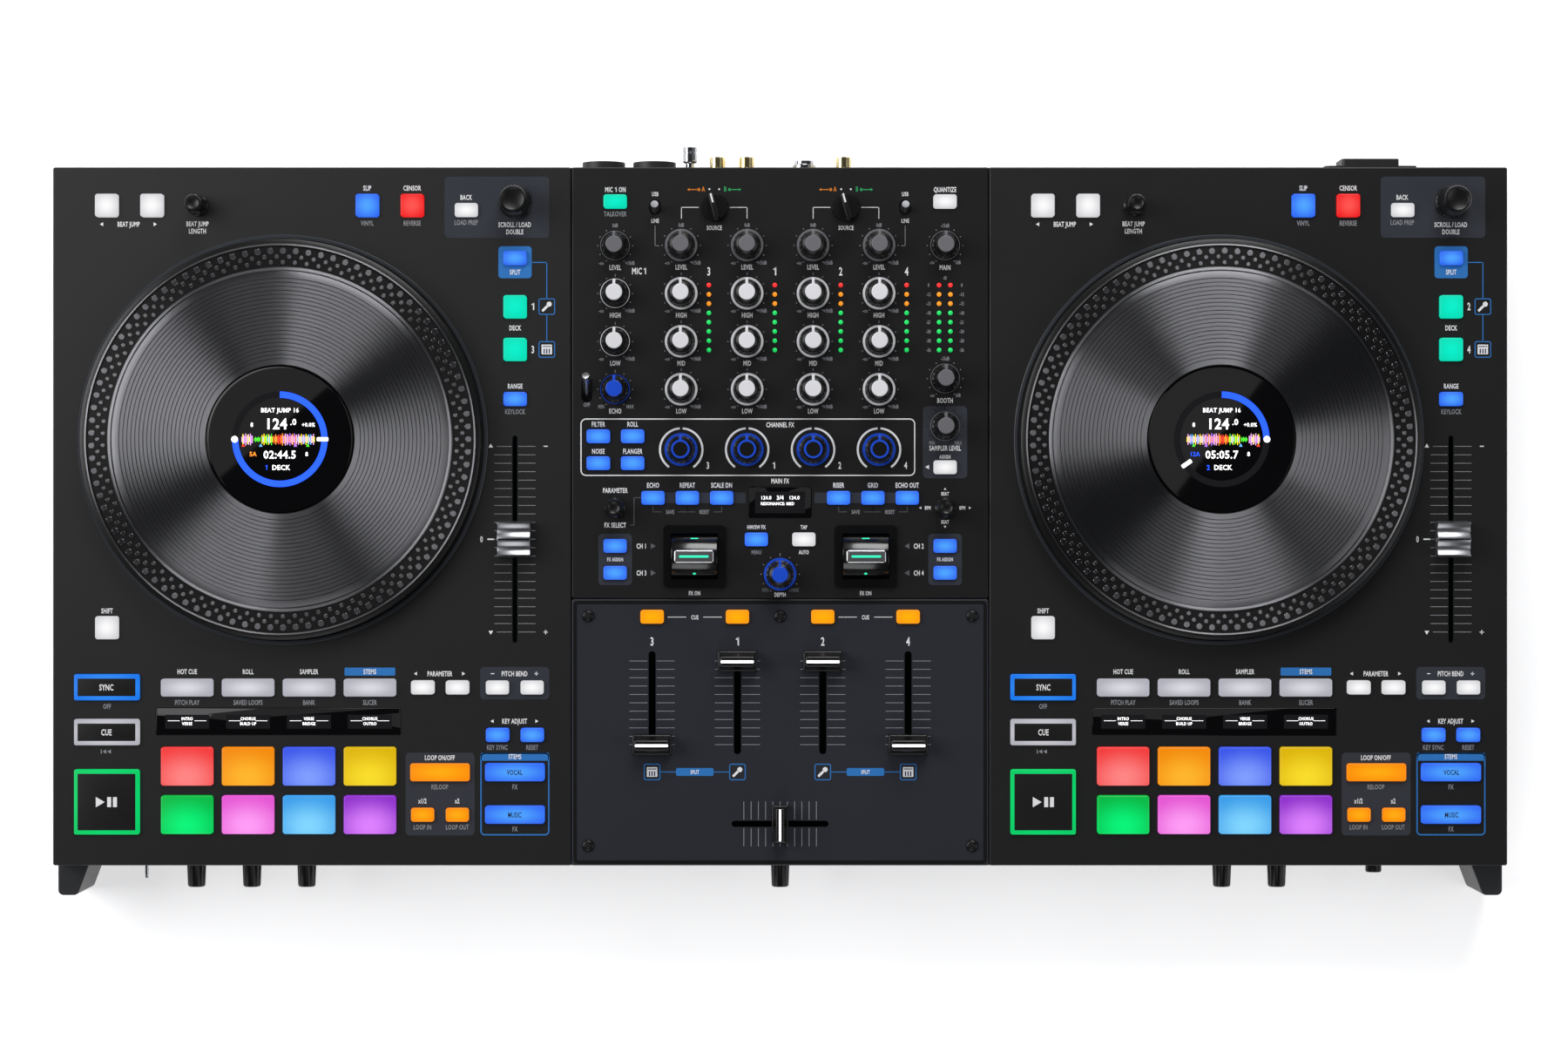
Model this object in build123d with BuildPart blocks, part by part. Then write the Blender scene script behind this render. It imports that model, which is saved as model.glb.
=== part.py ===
"""A two-deck performance controller with a four-channel mixer.

X runs from the left deck to the right one, Y away from the player and Z up. The origin lies on the
table, under the middle of the whole controller. Every value is in millimetres.
"""
from build123d import *
import os

# ---------------------------------------------------------------- overall sizes
deck_width = 279.5
mixer_width = 225.0
body_depth = 376.5
panel_top = 60.0        # height of the playing surface above the table
panel_thickness = 2.5
wall = 3.0
case_corner = 1.2
seam = 0.4              # gap between neighbouring top panels
ground_clearance = 9.0  # from the table to the underside of the case
bottom_thickness = 1.5
fit = 0.15              # a piece set into a panel, each side
key_gap = 0.3           # a button in its hole, each side
shaft_gap = 0.4         # a control's shaft in its hole, radially

# front legs and rear earth post reach past the case
leg_reach = 17.5
post_reach = 13.5
body_y = (leg_reach - post_reach) / 2

panel_bottom = panel_top - panel_thickness
case_bottom = ground_clearance + bottom_thickness
body_width = 2 * deck_width + mixer_width
front_y = body_y - body_depth / 2
rear_y = body_y + body_depth / 2
deck_x = (mixer_width + deck_width) / 2
fader_seam_y = body_y - 44.4   # between the mixer panel and the fader plate

os.makedirs("parts", exist_ok=True)


def finish(label, part):
    """Name a finished piece and write it to its own file."""
    part.label = label
    export_step(part, f"parts/{label}.step")


def on_deck(sign, rows):
    """Places given from a deck's centre line, moved to the left (-1) or right (1) deck."""
    return [(sign * deck_x + x, body_y + y, *rest) for x, y, *rest in rows]


def on_mixer(rows):
    """Places given from the mixer's centre line."""
    return [(x, body_y + y, *rest) for x, y, *rest in rows]


# ---------------------------------------------------------------- layout of a deck
# every row is x, y, width, depth from the deck's centre line and the body's middle
right_column = 109.4
transport_column = -110.5
pad_middle = -18.1
pad_pitch = 32.83
pad_columns = [pad_middle + (i - 1.5) * pad_pitch for i in range(4)]
pad_rows = (-134.7, -160.8)
pad_size = (27.9, 20.7)
square_key = 12.4
flat_key = (12.4, 7.5)
wide_key = (32.0, 9.6)
pair_pitch = 18.7
loop_column = 69.0
bend_column = 109.3
top_row = 167.6

deck_keys = [
    (-110.6, top_row, square_key, square_key),
    (-86.2, top_row, square_key, square_key),
    (29.8, top_row, square_key, square_key),
    (54.0, top_row, square_key, square_key),
    (83.2, 165.1, *flat_key),
    (right_column, 139.2, *flat_key),
    (right_column, 113.0, square_key, square_key),
    (right_column, 90.0, square_key, square_key),
    (right_column, 63.3, *flat_key),
    (transport_column, -60.0, square_key, square_key),
    (transport_column, -92.1, 35.0, 14.0),
    (transport_column, -116.3, 35.0, 14.0),
    (transport_column, -153.9, 35.0, 35.0),
    *[(x, -92.3, 27.9, 9.5) for x in pad_columns],
    *[(loop_column + s * pair_pitch / 2, -92.2, *flat_key) for s in (-1, 1)],
    *[(bend_column + s * pair_pitch / 2, -92.2, *flat_key) for s in (-1, 1)],
    *[(bend_column + s * pair_pitch / 2, -117.8, *flat_key) for s in (-1, 1)],
    (loop_column, -137.9, *wide_key),
    *[(loop_column + s * pair_pitch / 2, -160.8, *flat_key) for s in (-1, 1)],
    (bend_column, -137.9, *wide_key),
    (bend_column, -160.8, *wide_key),
]
pads = [(x, y, *pad_size) for y in pad_rows for x in pad_columns]
pad_window = (pad_middle, -110.7, 131.9, 14.9)
platter_place = (-15.7, 41.3)
browse_place = (109.6, 169.5)
jump_place = (-61.5, top_row)
pitch_place = (109.3, -12.3)
pitch_slot = (2.6, 111.7)
pitch_travel = 50.0

# ---------------------------------------------------------------- layout of the mixer
channel_pitch = 35.53
knob_columns = [(i - 1.5) * channel_pitch for i in range(4)]
channel_order = (3, 1, 2, 4)        # channel numbers from left to right
knob_rows = {"level": 146.1, "high": 120.2, "mid": 94.3, "low": 68.5}
side_column = 88.9
fx_knob_y = 36.0
led_pitch = 5.0
led_radius = 1.25
led_top = 124.7
led_columns = [x + 14.9 for x in knob_columns] + [85.7, 91.8]
leds = [(x, led_top - i * led_pitch) for x in led_columns for i in range(8)]
fx_window = (0.0, 7.5, 33.9, 16.9)
mixer_key = (12.5, 7.4)
upper_keys = [
    (-side_column, 169.8, *mixer_key),
    (side_column, 169.8, *mixer_key),
    *[(x, y, *mixer_key) for y in (43.2, 28.7) for x in (-98.0, -79.5)],
    *[(s * x, 10.0, *mixer_key) for x in (31.5, 50.0, 68.5) for s in (-1, 1)],
    (side_column, 26.5, *mixer_key),
    *[(s * side_column, y, *mixer_key) for y in (-15.9, -30.4) for s in (-1, 1)],
    (-12.8, -12.4, *mixer_key),
    (12.8, -12.4, *mixer_key),
]
toggle_places = [(-67.4, 166.7), (67.4, 166.7)]
echo_toggle_place = (-104.2, 68.5)
selector_places = [(-35.5, 166.4), (35.5, 166.4)]
mic_rows = (145.9, 120.2, 94.3, 68.5)
output_rows = (146.0, 74.3, 48.6)
encoder_y = 4.6
depth_place = (0.0, -31.2)
paddle_place = (46.1, -21.5)

# the fader section in front of the mixer panel
fader_columns = {3: -69.0, 1: -23.0, 2: 23.0, 4: 69.0}
fader_y = -100.5
fader_travel = 45.0
fader_slot = (3.8, 55.7)
cross_y = -165.8
cross_slot = (52.3, 3.4)
cue_keys = [(x, -54.1, *mixer_key) for x in fader_columns.values()]
screw_places = [(-103.5, -53.6), (103.5, -53.6), (0.0, -53.9), (-103.5, -177.5), (103.5, -177.5)]
screw_radius = 1.5
screw_head = 3.2
screw_head_height = 1.6
screw_length = 10.0
screw_socket = (1.5, 1.2)   # radius and depth of the driver socket

# ---------------------------------------------------------------- controls
key_radius = 1.5
key_rise = 1.8
pad_rise = 2.0
key_flange = 1.0        # a lip under the panel that keeps a key in
key_drop = 0.4          # from the panel down to that lip
shaft = 3.0
shaft_depth = 9.0       # a shaft's length below the panel's face
lift = 0.6              # from the panel's face up to a knob's skirt
knob_skirt = 8.8
knob_height = 16.5

platter_radius = 107.95
platter_top = 12.5
platter_gap = 1.0
label_radius = 39.3
label_gap = 0.4
label_thickness = 2.6
post_radius = 10.0
post_bore = 7.0
bearing_radius = 15.0
bearing_gap = 0.05
hub_radius = 22.0
hub_hole = hub_radius + 1.5
hub_depth = 8.0


def rounded(places, grow, radius):
    """Rounded rectangles at x, y, width, depth, made larger by grow on each side."""
    for x, y, width, depth in places:
        with Locations((x, y)):
            RectangleRounded(width + 2 * grow, depth + 2 * grow, radius)


def key_group(label, keys, rise):
    """Translucent caps that travel down through the panel, each with a lip below it."""
    lip_top = panel_bottom - key_drop
    with BuildPart() as group:
        with BuildSketch(Plane.XY.offset(lip_top - key_flange)):
            rounded(keys, key_flange, key_radius)
        extrude(amount=key_flange)
        with BuildSketch(Plane.XY.offset(lip_top)):
            rounded(keys, 0, key_radius)
        extrude(amount=panel_top + rise - lip_top)
        fillet(group.edges().group_by(Axis.Z)[-1], radius=0.5)
    finish(label, group.part)


def turned(label, place, profile):
    """A knob or encoder cap with its shaft, turned about Z from radius and height pairs."""
    x, y = place
    with BuildPart() as knob:
        with BuildSketch(Plane.XZ.offset(-y)):
            with BuildLine():
                Polyline(
                    (x, panel_top - shaft_depth),
                    (x + shaft, panel_top - shaft_depth),
                    (x + shaft, panel_top + lift),
                    *[(x + r, panel_top + z) for r, z in profile],
                    (x, panel_top + profile[-1][1]),
                    close=True,
                )
            make_face()
        revolve(axis=Axis((x, y, 0), (0, 0, 1)))
    if label:
        finish(label, knob.part)
    return knob.part


channel_knob = [
    (knob_skirt, lift), (knob_skirt, 2.0), (7.5, 2.8), (7.1, 13.0),
    (6.2, 15.2), (4.6, knob_height - 0.4), (4.4, knob_height),
]
effect_knob = [
    (8.9, lift), (8.9, 2.0), (7.7, 2.8), (7.2, 13.5), (6.6, 14.6), (5.0, 15.0), (5.0, knob_height),
]
browse_cap = [(9.0, lift), (9.0, 2.5), (8.2, 3.2), (7.6, 18.0), (6.6, 19.6), (0.5, 20.0)]
small_cap = [(5.6, lift), (5.6, 1.8), (5.0, 2.4), (4.7, 16.5), (3.9, 18.0), (0.5, 18.2)]
mic_knob = [
    (7.0, lift), (7.0, 1.6), (6.4, 2.4), (5.9, 12.0), (5.1, 13.4), (3.8, 13.8), (3.7, 14.4),
]


# ---------------------------------------------------------------- case
with BuildPart() as bottom_plate:
    with BuildSketch(Plane.XY.offset(ground_clearance)):
        with Locations((0, body_y)):
            RectangleRounded(body_width, body_depth, case_corner)
    extrude(amount=bottom_thickness)
finish("bottom_plate", bottom_plate.part)

wall_height = panel_bottom - case_bottom
front_knob_z = 30.0
front_knobs = [-319.3, -289.0, -259.0, 0.0, 241.6, 271.6]
front_toggle_x = -346.5
headphone_x = 324.6
headphone_bush = 4.4
headphone_bore = 1.8
headphone_reach = 6.2
headphone_depth = 8.0       # behind the wall
headphone_floor = 3.0

with BuildPart() as front_panel:
    with BuildSketch(Plane.XY.offset(case_bottom)):
        with Locations((0, front_y + wall / 2)):
            Rectangle(body_width - 2 * wall, wall)
    extrude(amount=wall_height)
    with BuildSketch(Plane.XZ.offset(-front_y)):
        with Locations(*[(x, front_knob_z) for x in front_knobs]):
            Circle(shaft + shaft_gap)
        with Locations((front_toggle_x, front_knob_z)):
            Circle(2.0 + fit)
        with Locations((headphone_x, front_knob_z)):
            Circle(headphone_bush + fit)
    extrude(amount=-wall, mode=Mode.SUBTRACT)
finish("front_panel", front_panel.part)

# rear sockets, by their middle: combined microphone sockets, mains inlet and data ports
socket_z = 34.0
mic_sockets = [-96.3, -68.6]
mic_socket_radius = 11.65
mic_socket_bore = 8.6
mic_socket_reach = 4.8
mic_socket_depth = 18.0
mic_socket_floor = 3.0
inlet_x = 320.6
inlet_flange = (50.0, 28.0)
inlet_body = (31.0, 24.0)
inlet_cavity = (24.0, 16.5)
inlet_reach = 6.0
inlet_flange_thickness = 2.0
inlet_depth = 20.0
inlet_floor = 4.0
data_ports = [75.0, 100.0]
data_body = (13.0, 12.0)
data_cavity = (8.6, 7.8)
data_reach = 1.0
data_depth = 16.0
data_floor = 3.0
# phono pairs, balanced output and earth post
phono_columns = [-34.1, -18.2, 34.5]
phono_rows = (socket_z - 8.0, socket_z + 8.0)
phono_radius = 4.2
phono_reach = 7.0
phono_pin = (1.7, 8.0)      # bore radius and depth
barrel_depth = 6.0          # how far a barrel reaches behind the wall
jack_x = 13.0
jack_radius = 6.5
jack_bore = 3.25
jack_reach = 6.0
jack_depth = 22.0
earth_x = -49.3
earth_radius = 3.95
earth_depth = 4.0

with BuildPart() as rear_panel:
    with BuildSketch(Plane.XY.offset(case_bottom)):
        with Locations((0, rear_y - wall / 2)):
            Rectangle(body_width - 2 * wall, wall)
    extrude(amount=wall_height)
    with BuildSketch(Plane.XZ.offset(-rear_y)):
        with Locations(*[(x, socket_z) for x in mic_sockets]):
            Circle(mic_socket_radius + fit)
        with Locations((inlet_x, socket_z)):
            Rectangle(inlet_body[0] + 2 * fit, inlet_body[1] + 2 * fit)
        with Locations(*[(x, socket_z) for x in data_ports]):
            Rectangle(data_body[0] + 2 * fit, data_body[1] + 2 * fit)
        with Locations(*[(x, z) for x in phono_columns for z in phono_rows]):
            Circle(phono_radius + fit)
        with Locations((jack_x, socket_z)):
            Circle(jack_radius + fit)
        with Locations((earth_x, socket_z)):
            Circle(earth_radius + fit)
    extrude(amount=wall, mode=Mode.SUBTRACT)
finish("rear_panel", rear_panel.part)

with BuildPart() as side_panels:
    with BuildSketch(Plane.XY.offset(case_bottom)):
        with Locations(*[(s * (body_width - wall) / 2, body_y) for s in (-1, 1)]):
            Rectangle(wall, body_depth)
    extrude(amount=wall_height)
    for end in (0, -1):
        fillet(side_panels.edges().filter_by(Axis.Z).group_by(Axis.X)[end], radius=case_corner)
finish("side_panels", side_panels.part)

leg_top = 46.0
leg_root = 17.2   # width at the case
leg_tip = 10.5    # width at the front
with BuildPart() as front_legs:
    with BuildSketch() as leg_plan:
        with BuildLine():
            Polyline(
                (body_width / 2, front_y),
                (body_width / 2, front_y - leg_reach),
                (body_width / 2 - leg_tip, front_y - leg_reach),
                (body_width / 2 - leg_root, front_y),
                close=True,
            )
        make_face()
        mirror(about=Plane.YZ)
    extrude(amount=leg_top)
    tip_edges = front_legs.edges().filter_by(Axis.Z).group_by(Axis.Y)[0]
    fillet(tip_edges, radius=3.0)
    fillet(front_legs.faces().group_by(Axis.Z)[-1].edges(), radius=0.8)
finish("front_legs", front_legs.part)

foot_radius = 11.0
foot_inset = 32.0
with BuildPart() as rubber_feet:
    with BuildSketch():
        with Locations(*[
            (sx * (body_width / 2 - foot_inset), body_y + sy * (body_depth / 2 - foot_inset))
            for sx in (-1, 1) for sy in (-1, 1)
        ]):
            Circle(foot_radius)
    extrude(amount=ground_clearance)
    fillet(rubber_feet.edges().group_by(Axis.Z)[0], radius=1.2)
finish("rubber_feet", rubber_feet.part)


# ---------------------------------------------------------------- top panels
panel_edge = 0.8


def soften_top(builder):
    """Round the outer edge of a panel's playing face, leaving its holes sharp."""
    face = builder.faces().sort_by(Axis.Z)[-1]
    fillet(face.outer_wire().edges(), radius=panel_edge)


def deck_panel(label, sign):
    """One deck's top plate with all its openings."""
    hub = on_deck(sign, [platter_place])[0]
    outer = (deck_width - seam / 2, body_depth)
    with BuildPart() as panel:
        with BuildSketch(Plane.XY.offset(panel_bottom)):
            with Locations((sign * (deck_x + seam / 4), body_y)):
                RectangleRounded(*outer, case_corner)
        extrude(amount=panel_thickness)
        soften_top(panel)
        with BuildSketch(Plane.XY.offset(panel_top)):
            rounded(on_deck(sign, deck_keys + pads), key_gap, key_radius + key_gap)
            rounded(on_deck(sign, [pad_window]), fit, key_radius)
            rounded(on_deck(sign, [(*pitch_place, *pitch_slot)]), 0, pitch_slot[0] / 2 - 0.01)
            with Locations(hub):
                Circle(hub_hole)
            with Locations(*on_deck(sign, [browse_place, jump_place])):
                Circle(shaft + shaft_gap)
        extrude(amount=-panel_thickness, mode=Mode.SUBTRACT)
    finish(label, panel.part)


deck_panel("left_deck_panel", -1)
deck_panel("right_deck_panel", 1)

# each paddle's drum turns between two lugs of its housing, which stands on the panel over an opening
drum_radius = 11.9
drum_width = 24.9
drum_gap = 0.5
lug_gap = 0.3
lug_width = 2.2
lug_depth = 9.0
lug_drop = 8.0          # how far the lugs reach below the panel's face
opening_gap = 0.35      # round the lugs
axle_z = panel_top - 3.0
axle_length = drum_width + 2 * (lug_gap + lug_width)
axle_radius = 2.0
axle_gap = 0.06
housing_slot = (axle_length + 2 * opening_gap, 2 * (drum_radius + drum_gap))
housing_rim = 1.45
housing_size = housing_slot[0] + 2 * housing_rim
housing_rise = 2.2
toggle_slot = (6.6, 8.2)
echo_slot = (6.0, 14.0)
toggle_lever = 1.3
paddles = on_mixer([(s * paddle_place[0], paddle_place[1]) for s in (-1, 1)])

with BuildPart() as mixer_panel:
    depth = rear_y - fader_seam_y - seam / 2
    with BuildSketch(Plane.XY.offset(panel_bottom)):
        with Locations((0, rear_y - depth / 2)):
            RectangleRounded(mixer_width - seam, depth, case_corner)
    extrude(amount=panel_thickness)
    soften_top(mixer_panel)
    with BuildSketch(Plane.XY.offset(panel_top)):
        rounded(on_mixer(upper_keys), key_gap, key_radius + key_gap)
        rounded(on_mixer([fx_window]), fit, key_radius)
        rounded([(x, y, *housing_slot) for x, y in paddles], 0.1, 1.0)
        rounded([(*p, *toggle_slot) for p in on_mixer(toggle_places)], 0, 3.0)
        rounded([(*p, *echo_slot) for p in on_mixer([echo_toggle_place])], 0, 2.9)
        with Locations(*on_mixer(leds)):
            Circle(led_radius + fit)
        with Locations(*on_mixer(
            [(x, y) for x in knob_columns for y in (*knob_rows.values(), fx_knob_y)]
            + [(-side_column, y) for y in mic_rows]
            + [(side_column, y) for y in output_rows]
            + [(s * side_column, encoder_y) for s in (-1, 1)]
            + [depth_place, *selector_places]
        )):
            Circle(shaft + shaft_gap)
    extrude(amount=-panel_thickness, mode=Mode.SUBTRACT)
finish("mixer_panel", mixer_panel.part)

with BuildPart() as fader_plate:
    depth = fader_seam_y - front_y - seam / 2
    with BuildSketch(Plane.XY.offset(panel_bottom)):
        with Locations((0, front_y + depth / 2)):
            RectangleRounded(mixer_width - seam, depth, case_corner)
    extrude(amount=panel_thickness)
    soften_top(fader_plate)
    with BuildSketch(Plane.XY.offset(panel_top)):
        rounded(on_mixer(cue_keys), key_gap, key_radius + key_gap)
        slots = [(x, fader_y, *fader_slot) for x in fader_columns.values()]
        rounded(on_mixer(slots), 0, fader_slot[0] / 2 - 0.01)
        rounded(on_mixer([(0, cross_y, *cross_slot)]), 0, cross_slot[1] / 2 - 0.01)
        with Locations(*on_mixer(screw_places)):
            Circle(screw_radius + fit)
    extrude(amount=-panel_thickness, mode=Mode.SUBTRACT)
finish("fader_plate", fader_plate.part)

with BuildPart() as panel_screws:
    with BuildSketch(Plane.XY.offset(panel_top)):
        with Locations(*on_mixer(screw_places)):
            Circle(screw_head)
    extrude(amount=screw_head_height)
    fillet(panel_screws.edges().group_by(Axis.Z)[-1], radius=0.7)
    with BuildSketch(Plane.XY.offset(panel_top)):
        with Locations(*on_mixer(screw_places)):
            Circle(screw_radius)
    extrude(amount=-screw_length)
    with BuildSketch(Plane.XY.offset(panel_top + screw_head_height)):
        with Locations(*on_mixer(screw_places)):
            RegularPolygon(screw_socket[0], 6)
    extrude(amount=-screw_socket[1], mode=Mode.SUBTRACT)
finish("panel_screws", panel_screws.part)

# ---------------------------------------------------------------- windows and indicator lenses
window_depth = 3.2
with BuildPart() as display_windows:
    with BuildSketch(Plane.XY.offset(panel_top - window_depth)):
        for sign in (-1, 1):
            rounded(on_deck(sign, [pad_window]), 0, key_radius)
        rounded(on_mixer([fx_window]), 0, key_radius)
        with Locations(*on_mixer(leds)):
            Circle(led_radius)
    extrude(amount=window_depth)
finish("display_windows", display_windows.part)

# ---------------------------------------------------------------- platters and their centre displays
label_drop = 0.3        # the display's face lies this far below the platter's
display_gap = 0.6       # between the display and the turning recess under it
web_thickness = 3.0
skin_thickness = 3.5
rim_thickness = 8.0
rim_chamfer = 1.2
label_top = panel_top + platter_top - label_drop
label_bottom = label_top - label_thickness
recess_floor = label_bottom - display_gap
web_bottom = recess_floor - web_thickness


def platter(label, sign):
    """A touch platter: rim, grooved top, hub for the bearing and a recess for the display."""
    x, y = on_deck(sign, [platter_place])[0]
    rim_bottom = panel_top + platter_gap
    top = panel_top + platter_top
    skin = top - skin_thickness
    inner_wall = x + label_radius + label_gap + 5.6
    with BuildPart() as disc:
        with BuildSketch(Plane.XZ.offset(-y)):
            with BuildLine():
                Polyline(
                    (x + bearing_radius + bearing_gap, panel_top - hub_depth),
                    (x + hub_radius, panel_top - hub_depth),
                    (x + hub_radius, web_bottom),
                    (inner_wall, web_bottom),
                    (inner_wall, skin),
                    (x + platter_radius - rim_thickness, skin),
                    (x + platter_radius - rim_thickness, rim_bottom),
                    (x + platter_radius, rim_bottom),
                    (x + platter_radius, top - rim_chamfer),
                    (x + platter_radius - rim_chamfer, top),
                    (x + label_radius + label_gap, top),
                    (x + label_radius + label_gap, recess_floor),
                    (x + bearing_radius + bearing_gap, recess_floor),
                    close=True,
                )
            make_face()
        revolve(axis=Axis((x, y, 0), (0, 0, 1)))
    finish(label, disc.part)


platter("left_platter", -1)
platter("right_platter", 1)

hubs = [on_deck(s, [platter_place])[0] for s in (-1, 1)]
with BuildPart() as jog_displays:
    with BuildSketch(Plane.XY.offset(label_bottom)):
        with Locations(*hubs):
            Circle(label_radius)
    extrude(amount=label_thickness)
    fillet(jog_displays.edges().group_by(Axis.Z)[-1], radius=0.6)
    with BuildSketch(Plane.XY.offset(case_bottom)):
        with Locations(*hubs):
            Circle(post_radius)
            Circle(post_bore, mode=Mode.SUBTRACT)
    extrude(amount=label_bottom - case_bottom)
finish("jog_displays", jog_displays.part)

bearing_height = 8.0
press_gap = 0.02        # the bearing's bore round the post
with BuildPart() as jog_bearings:
    with BuildSketch(Plane.XY.offset(panel_top - hub_depth + 0.5)):
        with Locations(*hubs):
            Circle(bearing_radius)
            Circle(post_radius + press_gap, mode=Mode.SUBTRACT)
    extrude(amount=bearing_height)
finish("jog_bearings", jog_bearings.part)

# ---------------------------------------------------------------- keys and pads
key_group("deck_buttons", on_deck(-1, deck_keys) + on_deck(1, deck_keys), key_rise)
key_group("performance_pads", on_deck(-1, pads) + on_deck(1, pads), pad_rise)
key_group("mixer_buttons", on_mixer(upper_keys + cue_keys), key_rise)

# ---------------------------------------------------------------- knobs and encoders
for channel, x in zip(channel_order, knob_columns):
    for row, y in knob_rows.items():
        turned(f"channel_{channel}_{row}_knob", (x, body_y + y), channel_knob)
    turned(f"channel_{channel}_fx_knob", (x, body_y + fx_knob_y), effect_knob)
turned("fx_depth_knob", on_mixer([depth_place])[0], effect_knob)
turned("fx_parameter_encoder", (-side_column, body_y + encoder_y), small_cap)
turned("fx_beat_encoder", (side_column, body_y + encoder_y), small_cap)
for side, sign in (("left", -1), ("right", 1)):
    turned(f"{side}_browse_encoder", on_deck(sign, [browse_place])[0], browse_cap)

selector_radius = 7.5
selector_skirt = 3.0
selector_bar = (4.2, 12.0)      # width and height of the grip across the skirt
selector_angle = 15.0
for side, (x, y) in zip(("left", "right"), on_mixer(selector_places)):
    with BuildPart() as selector:
        with BuildSketch(Plane.XY.offset(panel_top + lift)):
            with Locations((x, y)):
                Circle(selector_radius)
        extrude(amount=selector_skirt)
        with BuildSketch(Plane.XY.offset(panel_top + lift)):
            with Locations(Location((x, y), selector_angle)):
                RectangleRounded(selector_bar[0], 2 * selector_radius - 0.8, 1.0)
        extrude(amount=selector_bar[1])
        fillet(selector.edges().group_by(Axis.Z)[-1], radius=0.6)
        with BuildSketch(Plane.XY.offset(panel_top + lift)):
            with Locations((x, y)):
                Circle(shaft)
        extrude(amount=-(shaft_depth + lift))
    finish(f"{side}_source_selector", selector.part)

# knobs and switch levers that are set once and left: microphone, outputs, seek and front row
front_knob_radius = 5.5
front_knob_length = 13.7
front_shaft_depth = 6.0     # a shaft's length behind the wall
switch_bush = 2.0
switch_bush_reach = 1.5
switch_lever = (1.0, 9.8)   # radius and reach of the front switch's lever
toggle_rise = 9.0
toggle_drop = 4.0
with BuildPart() as auxiliary_controls:
    for y in mic_rows:
        add(turned("", (-side_column, body_y + y), mic_knob))
    add(turned("", (side_column, body_y + output_rows[0]), channel_knob))
    for y in output_rows[1:]:
        add(turned("", (side_column, body_y + y), mic_knob))
    for sign in (-1, 1):
        add(turned("", on_deck(sign, [jump_place])[0], small_cap))
    with BuildSketch(Plane.XZ.offset(-front_y + lift)):
        with Locations(*[(x, front_knob_z) for x in front_knobs]):
            Circle(front_knob_radius)
    extrude(amount=front_knob_length, taper=3.5)
    with BuildSketch(Plane.XZ.offset(-front_y + lift)):
        with Locations(*[(x, front_knob_z) for x in front_knobs]):
            Circle(shaft)
    extrude(amount=-(wall + front_shaft_depth))
    with BuildSketch(Plane.XZ.offset(-front_y - wall)):
        with Locations((front_toggle_x, front_knob_z)):
            Circle(switch_bush)
    extrude(amount=wall + switch_bush_reach)
    with BuildSketch(Plane.XZ.offset(-front_y)):
        with Locations((front_toggle_x, front_knob_z)):
            Circle(switch_lever[0])
    extrude(amount=switch_lever[1])
    for x, y in on_mixer(toggle_places + [echo_toggle_place]):
        with BuildSketch(Plane.XY.offset(panel_bottom - toggle_drop)):
            with Locations((x, y)):
                Circle(toggle_lever)
        extrude(amount=toggle_drop + panel_thickness + toggle_rise)
finish("auxiliary_controls", auxiliary_controls.part)

# ---------------------------------------------------------------- faders
stem_depth = 12.0


def fader_knob(label, place, width, length, height, stem, along_x=False):
    """A fader cap with a scooped top and the blade that joins it to its track."""
    x, y = place
    base = panel_top + lift
    half = length / 2
    scoop = 1.6
    slope = 1.2
    side = Plane.XZ.offset(-y - width / 2) if along_x else Plane.YZ.offset(x - width / 2)
    middle = x if along_x else y
    with BuildPart() as cap:
        with BuildSketch(side):
            with BuildLine():
                Polyline((middle - half + slope, base + height), (middle - half, base),
                         (middle + half, base), (middle + half - slope, base + height))
                ThreePointArc(
                    (middle + half - slope, base + height),
                    (middle + half / 2, base + height - scoop),
                    (middle, base + height - 0.4),
                )
                ThreePointArc(
                    (middle, base + height - 0.4),
                    (middle - half / 2, base + height - scoop),
                    (middle - half + slope, base + height),
                )
            make_face()
        extrude(amount=width)
        with BuildSketch(Plane.XY.offset(base)):
            with Locations((x, y)):
                Rectangle(*stem)
        extrude(amount=-(stem_depth + lift))
    finish(label, cap.part)


fader_cap = (21.2, 11.3, 9.9)
for channel, x in fader_columns.items():
    rest = fader_travel / 2 if channel in (1, 2) else -fader_travel / 2
    fader_knob(f"channel_{channel}_fader", (x, body_y + fader_y + rest), *fader_cap, (1.8, 5.0))
fader_knob("crossfader", (0, body_y + cross_y), 20.3, 9.0, 9.9, (5.0, 1.8), along_x=True)
for side, sign in (("left", -1), ("right", 1)):
    place = on_deck(sign, [pitch_place])[0]
    fader_knob(f"{side}_pitch_fader", place, 17.75, 19.9, 10.4, (1.4, 7.0))

# ---------------------------------------------------------------- effect paddles
lever_size = (21.9, 7.8)
lever_top = 16.0        # above the panel's face
lever_root = axle_z + drum_radius - 4.0
with BuildPart() as paddle_housings:
    with BuildSketch(Plane.XY.offset(panel_top)):
        for x, y in paddles:
            with Locations((x, y)):
                RectangleRounded(housing_size, housing_size, 2.5)
                RectangleRounded(drum_width + 2 * lug_gap, housing_slot[1], 0.8, mode=Mode.SUBTRACT)
    extrude(amount=housing_rise)
    lug_x = drum_width / 2 + lug_gap + lug_width / 2
    lugs = [(x + s * lug_x, y) for x, y in paddles for s in (-1, 1)]
    with BuildSketch(Plane.XY.offset(panel_top)):
        with Locations(*lugs):
            Rectangle(lug_width, lug_depth)
    extrude(amount=-lug_drop)
    for x, y in paddles:
        with Locations(Location((x, y, axle_z), (0, 90, 0))):
            Hole(axle_radius + axle_gap, depth=housing_size)
finish("paddle_housings", paddle_housings.part)

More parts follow.
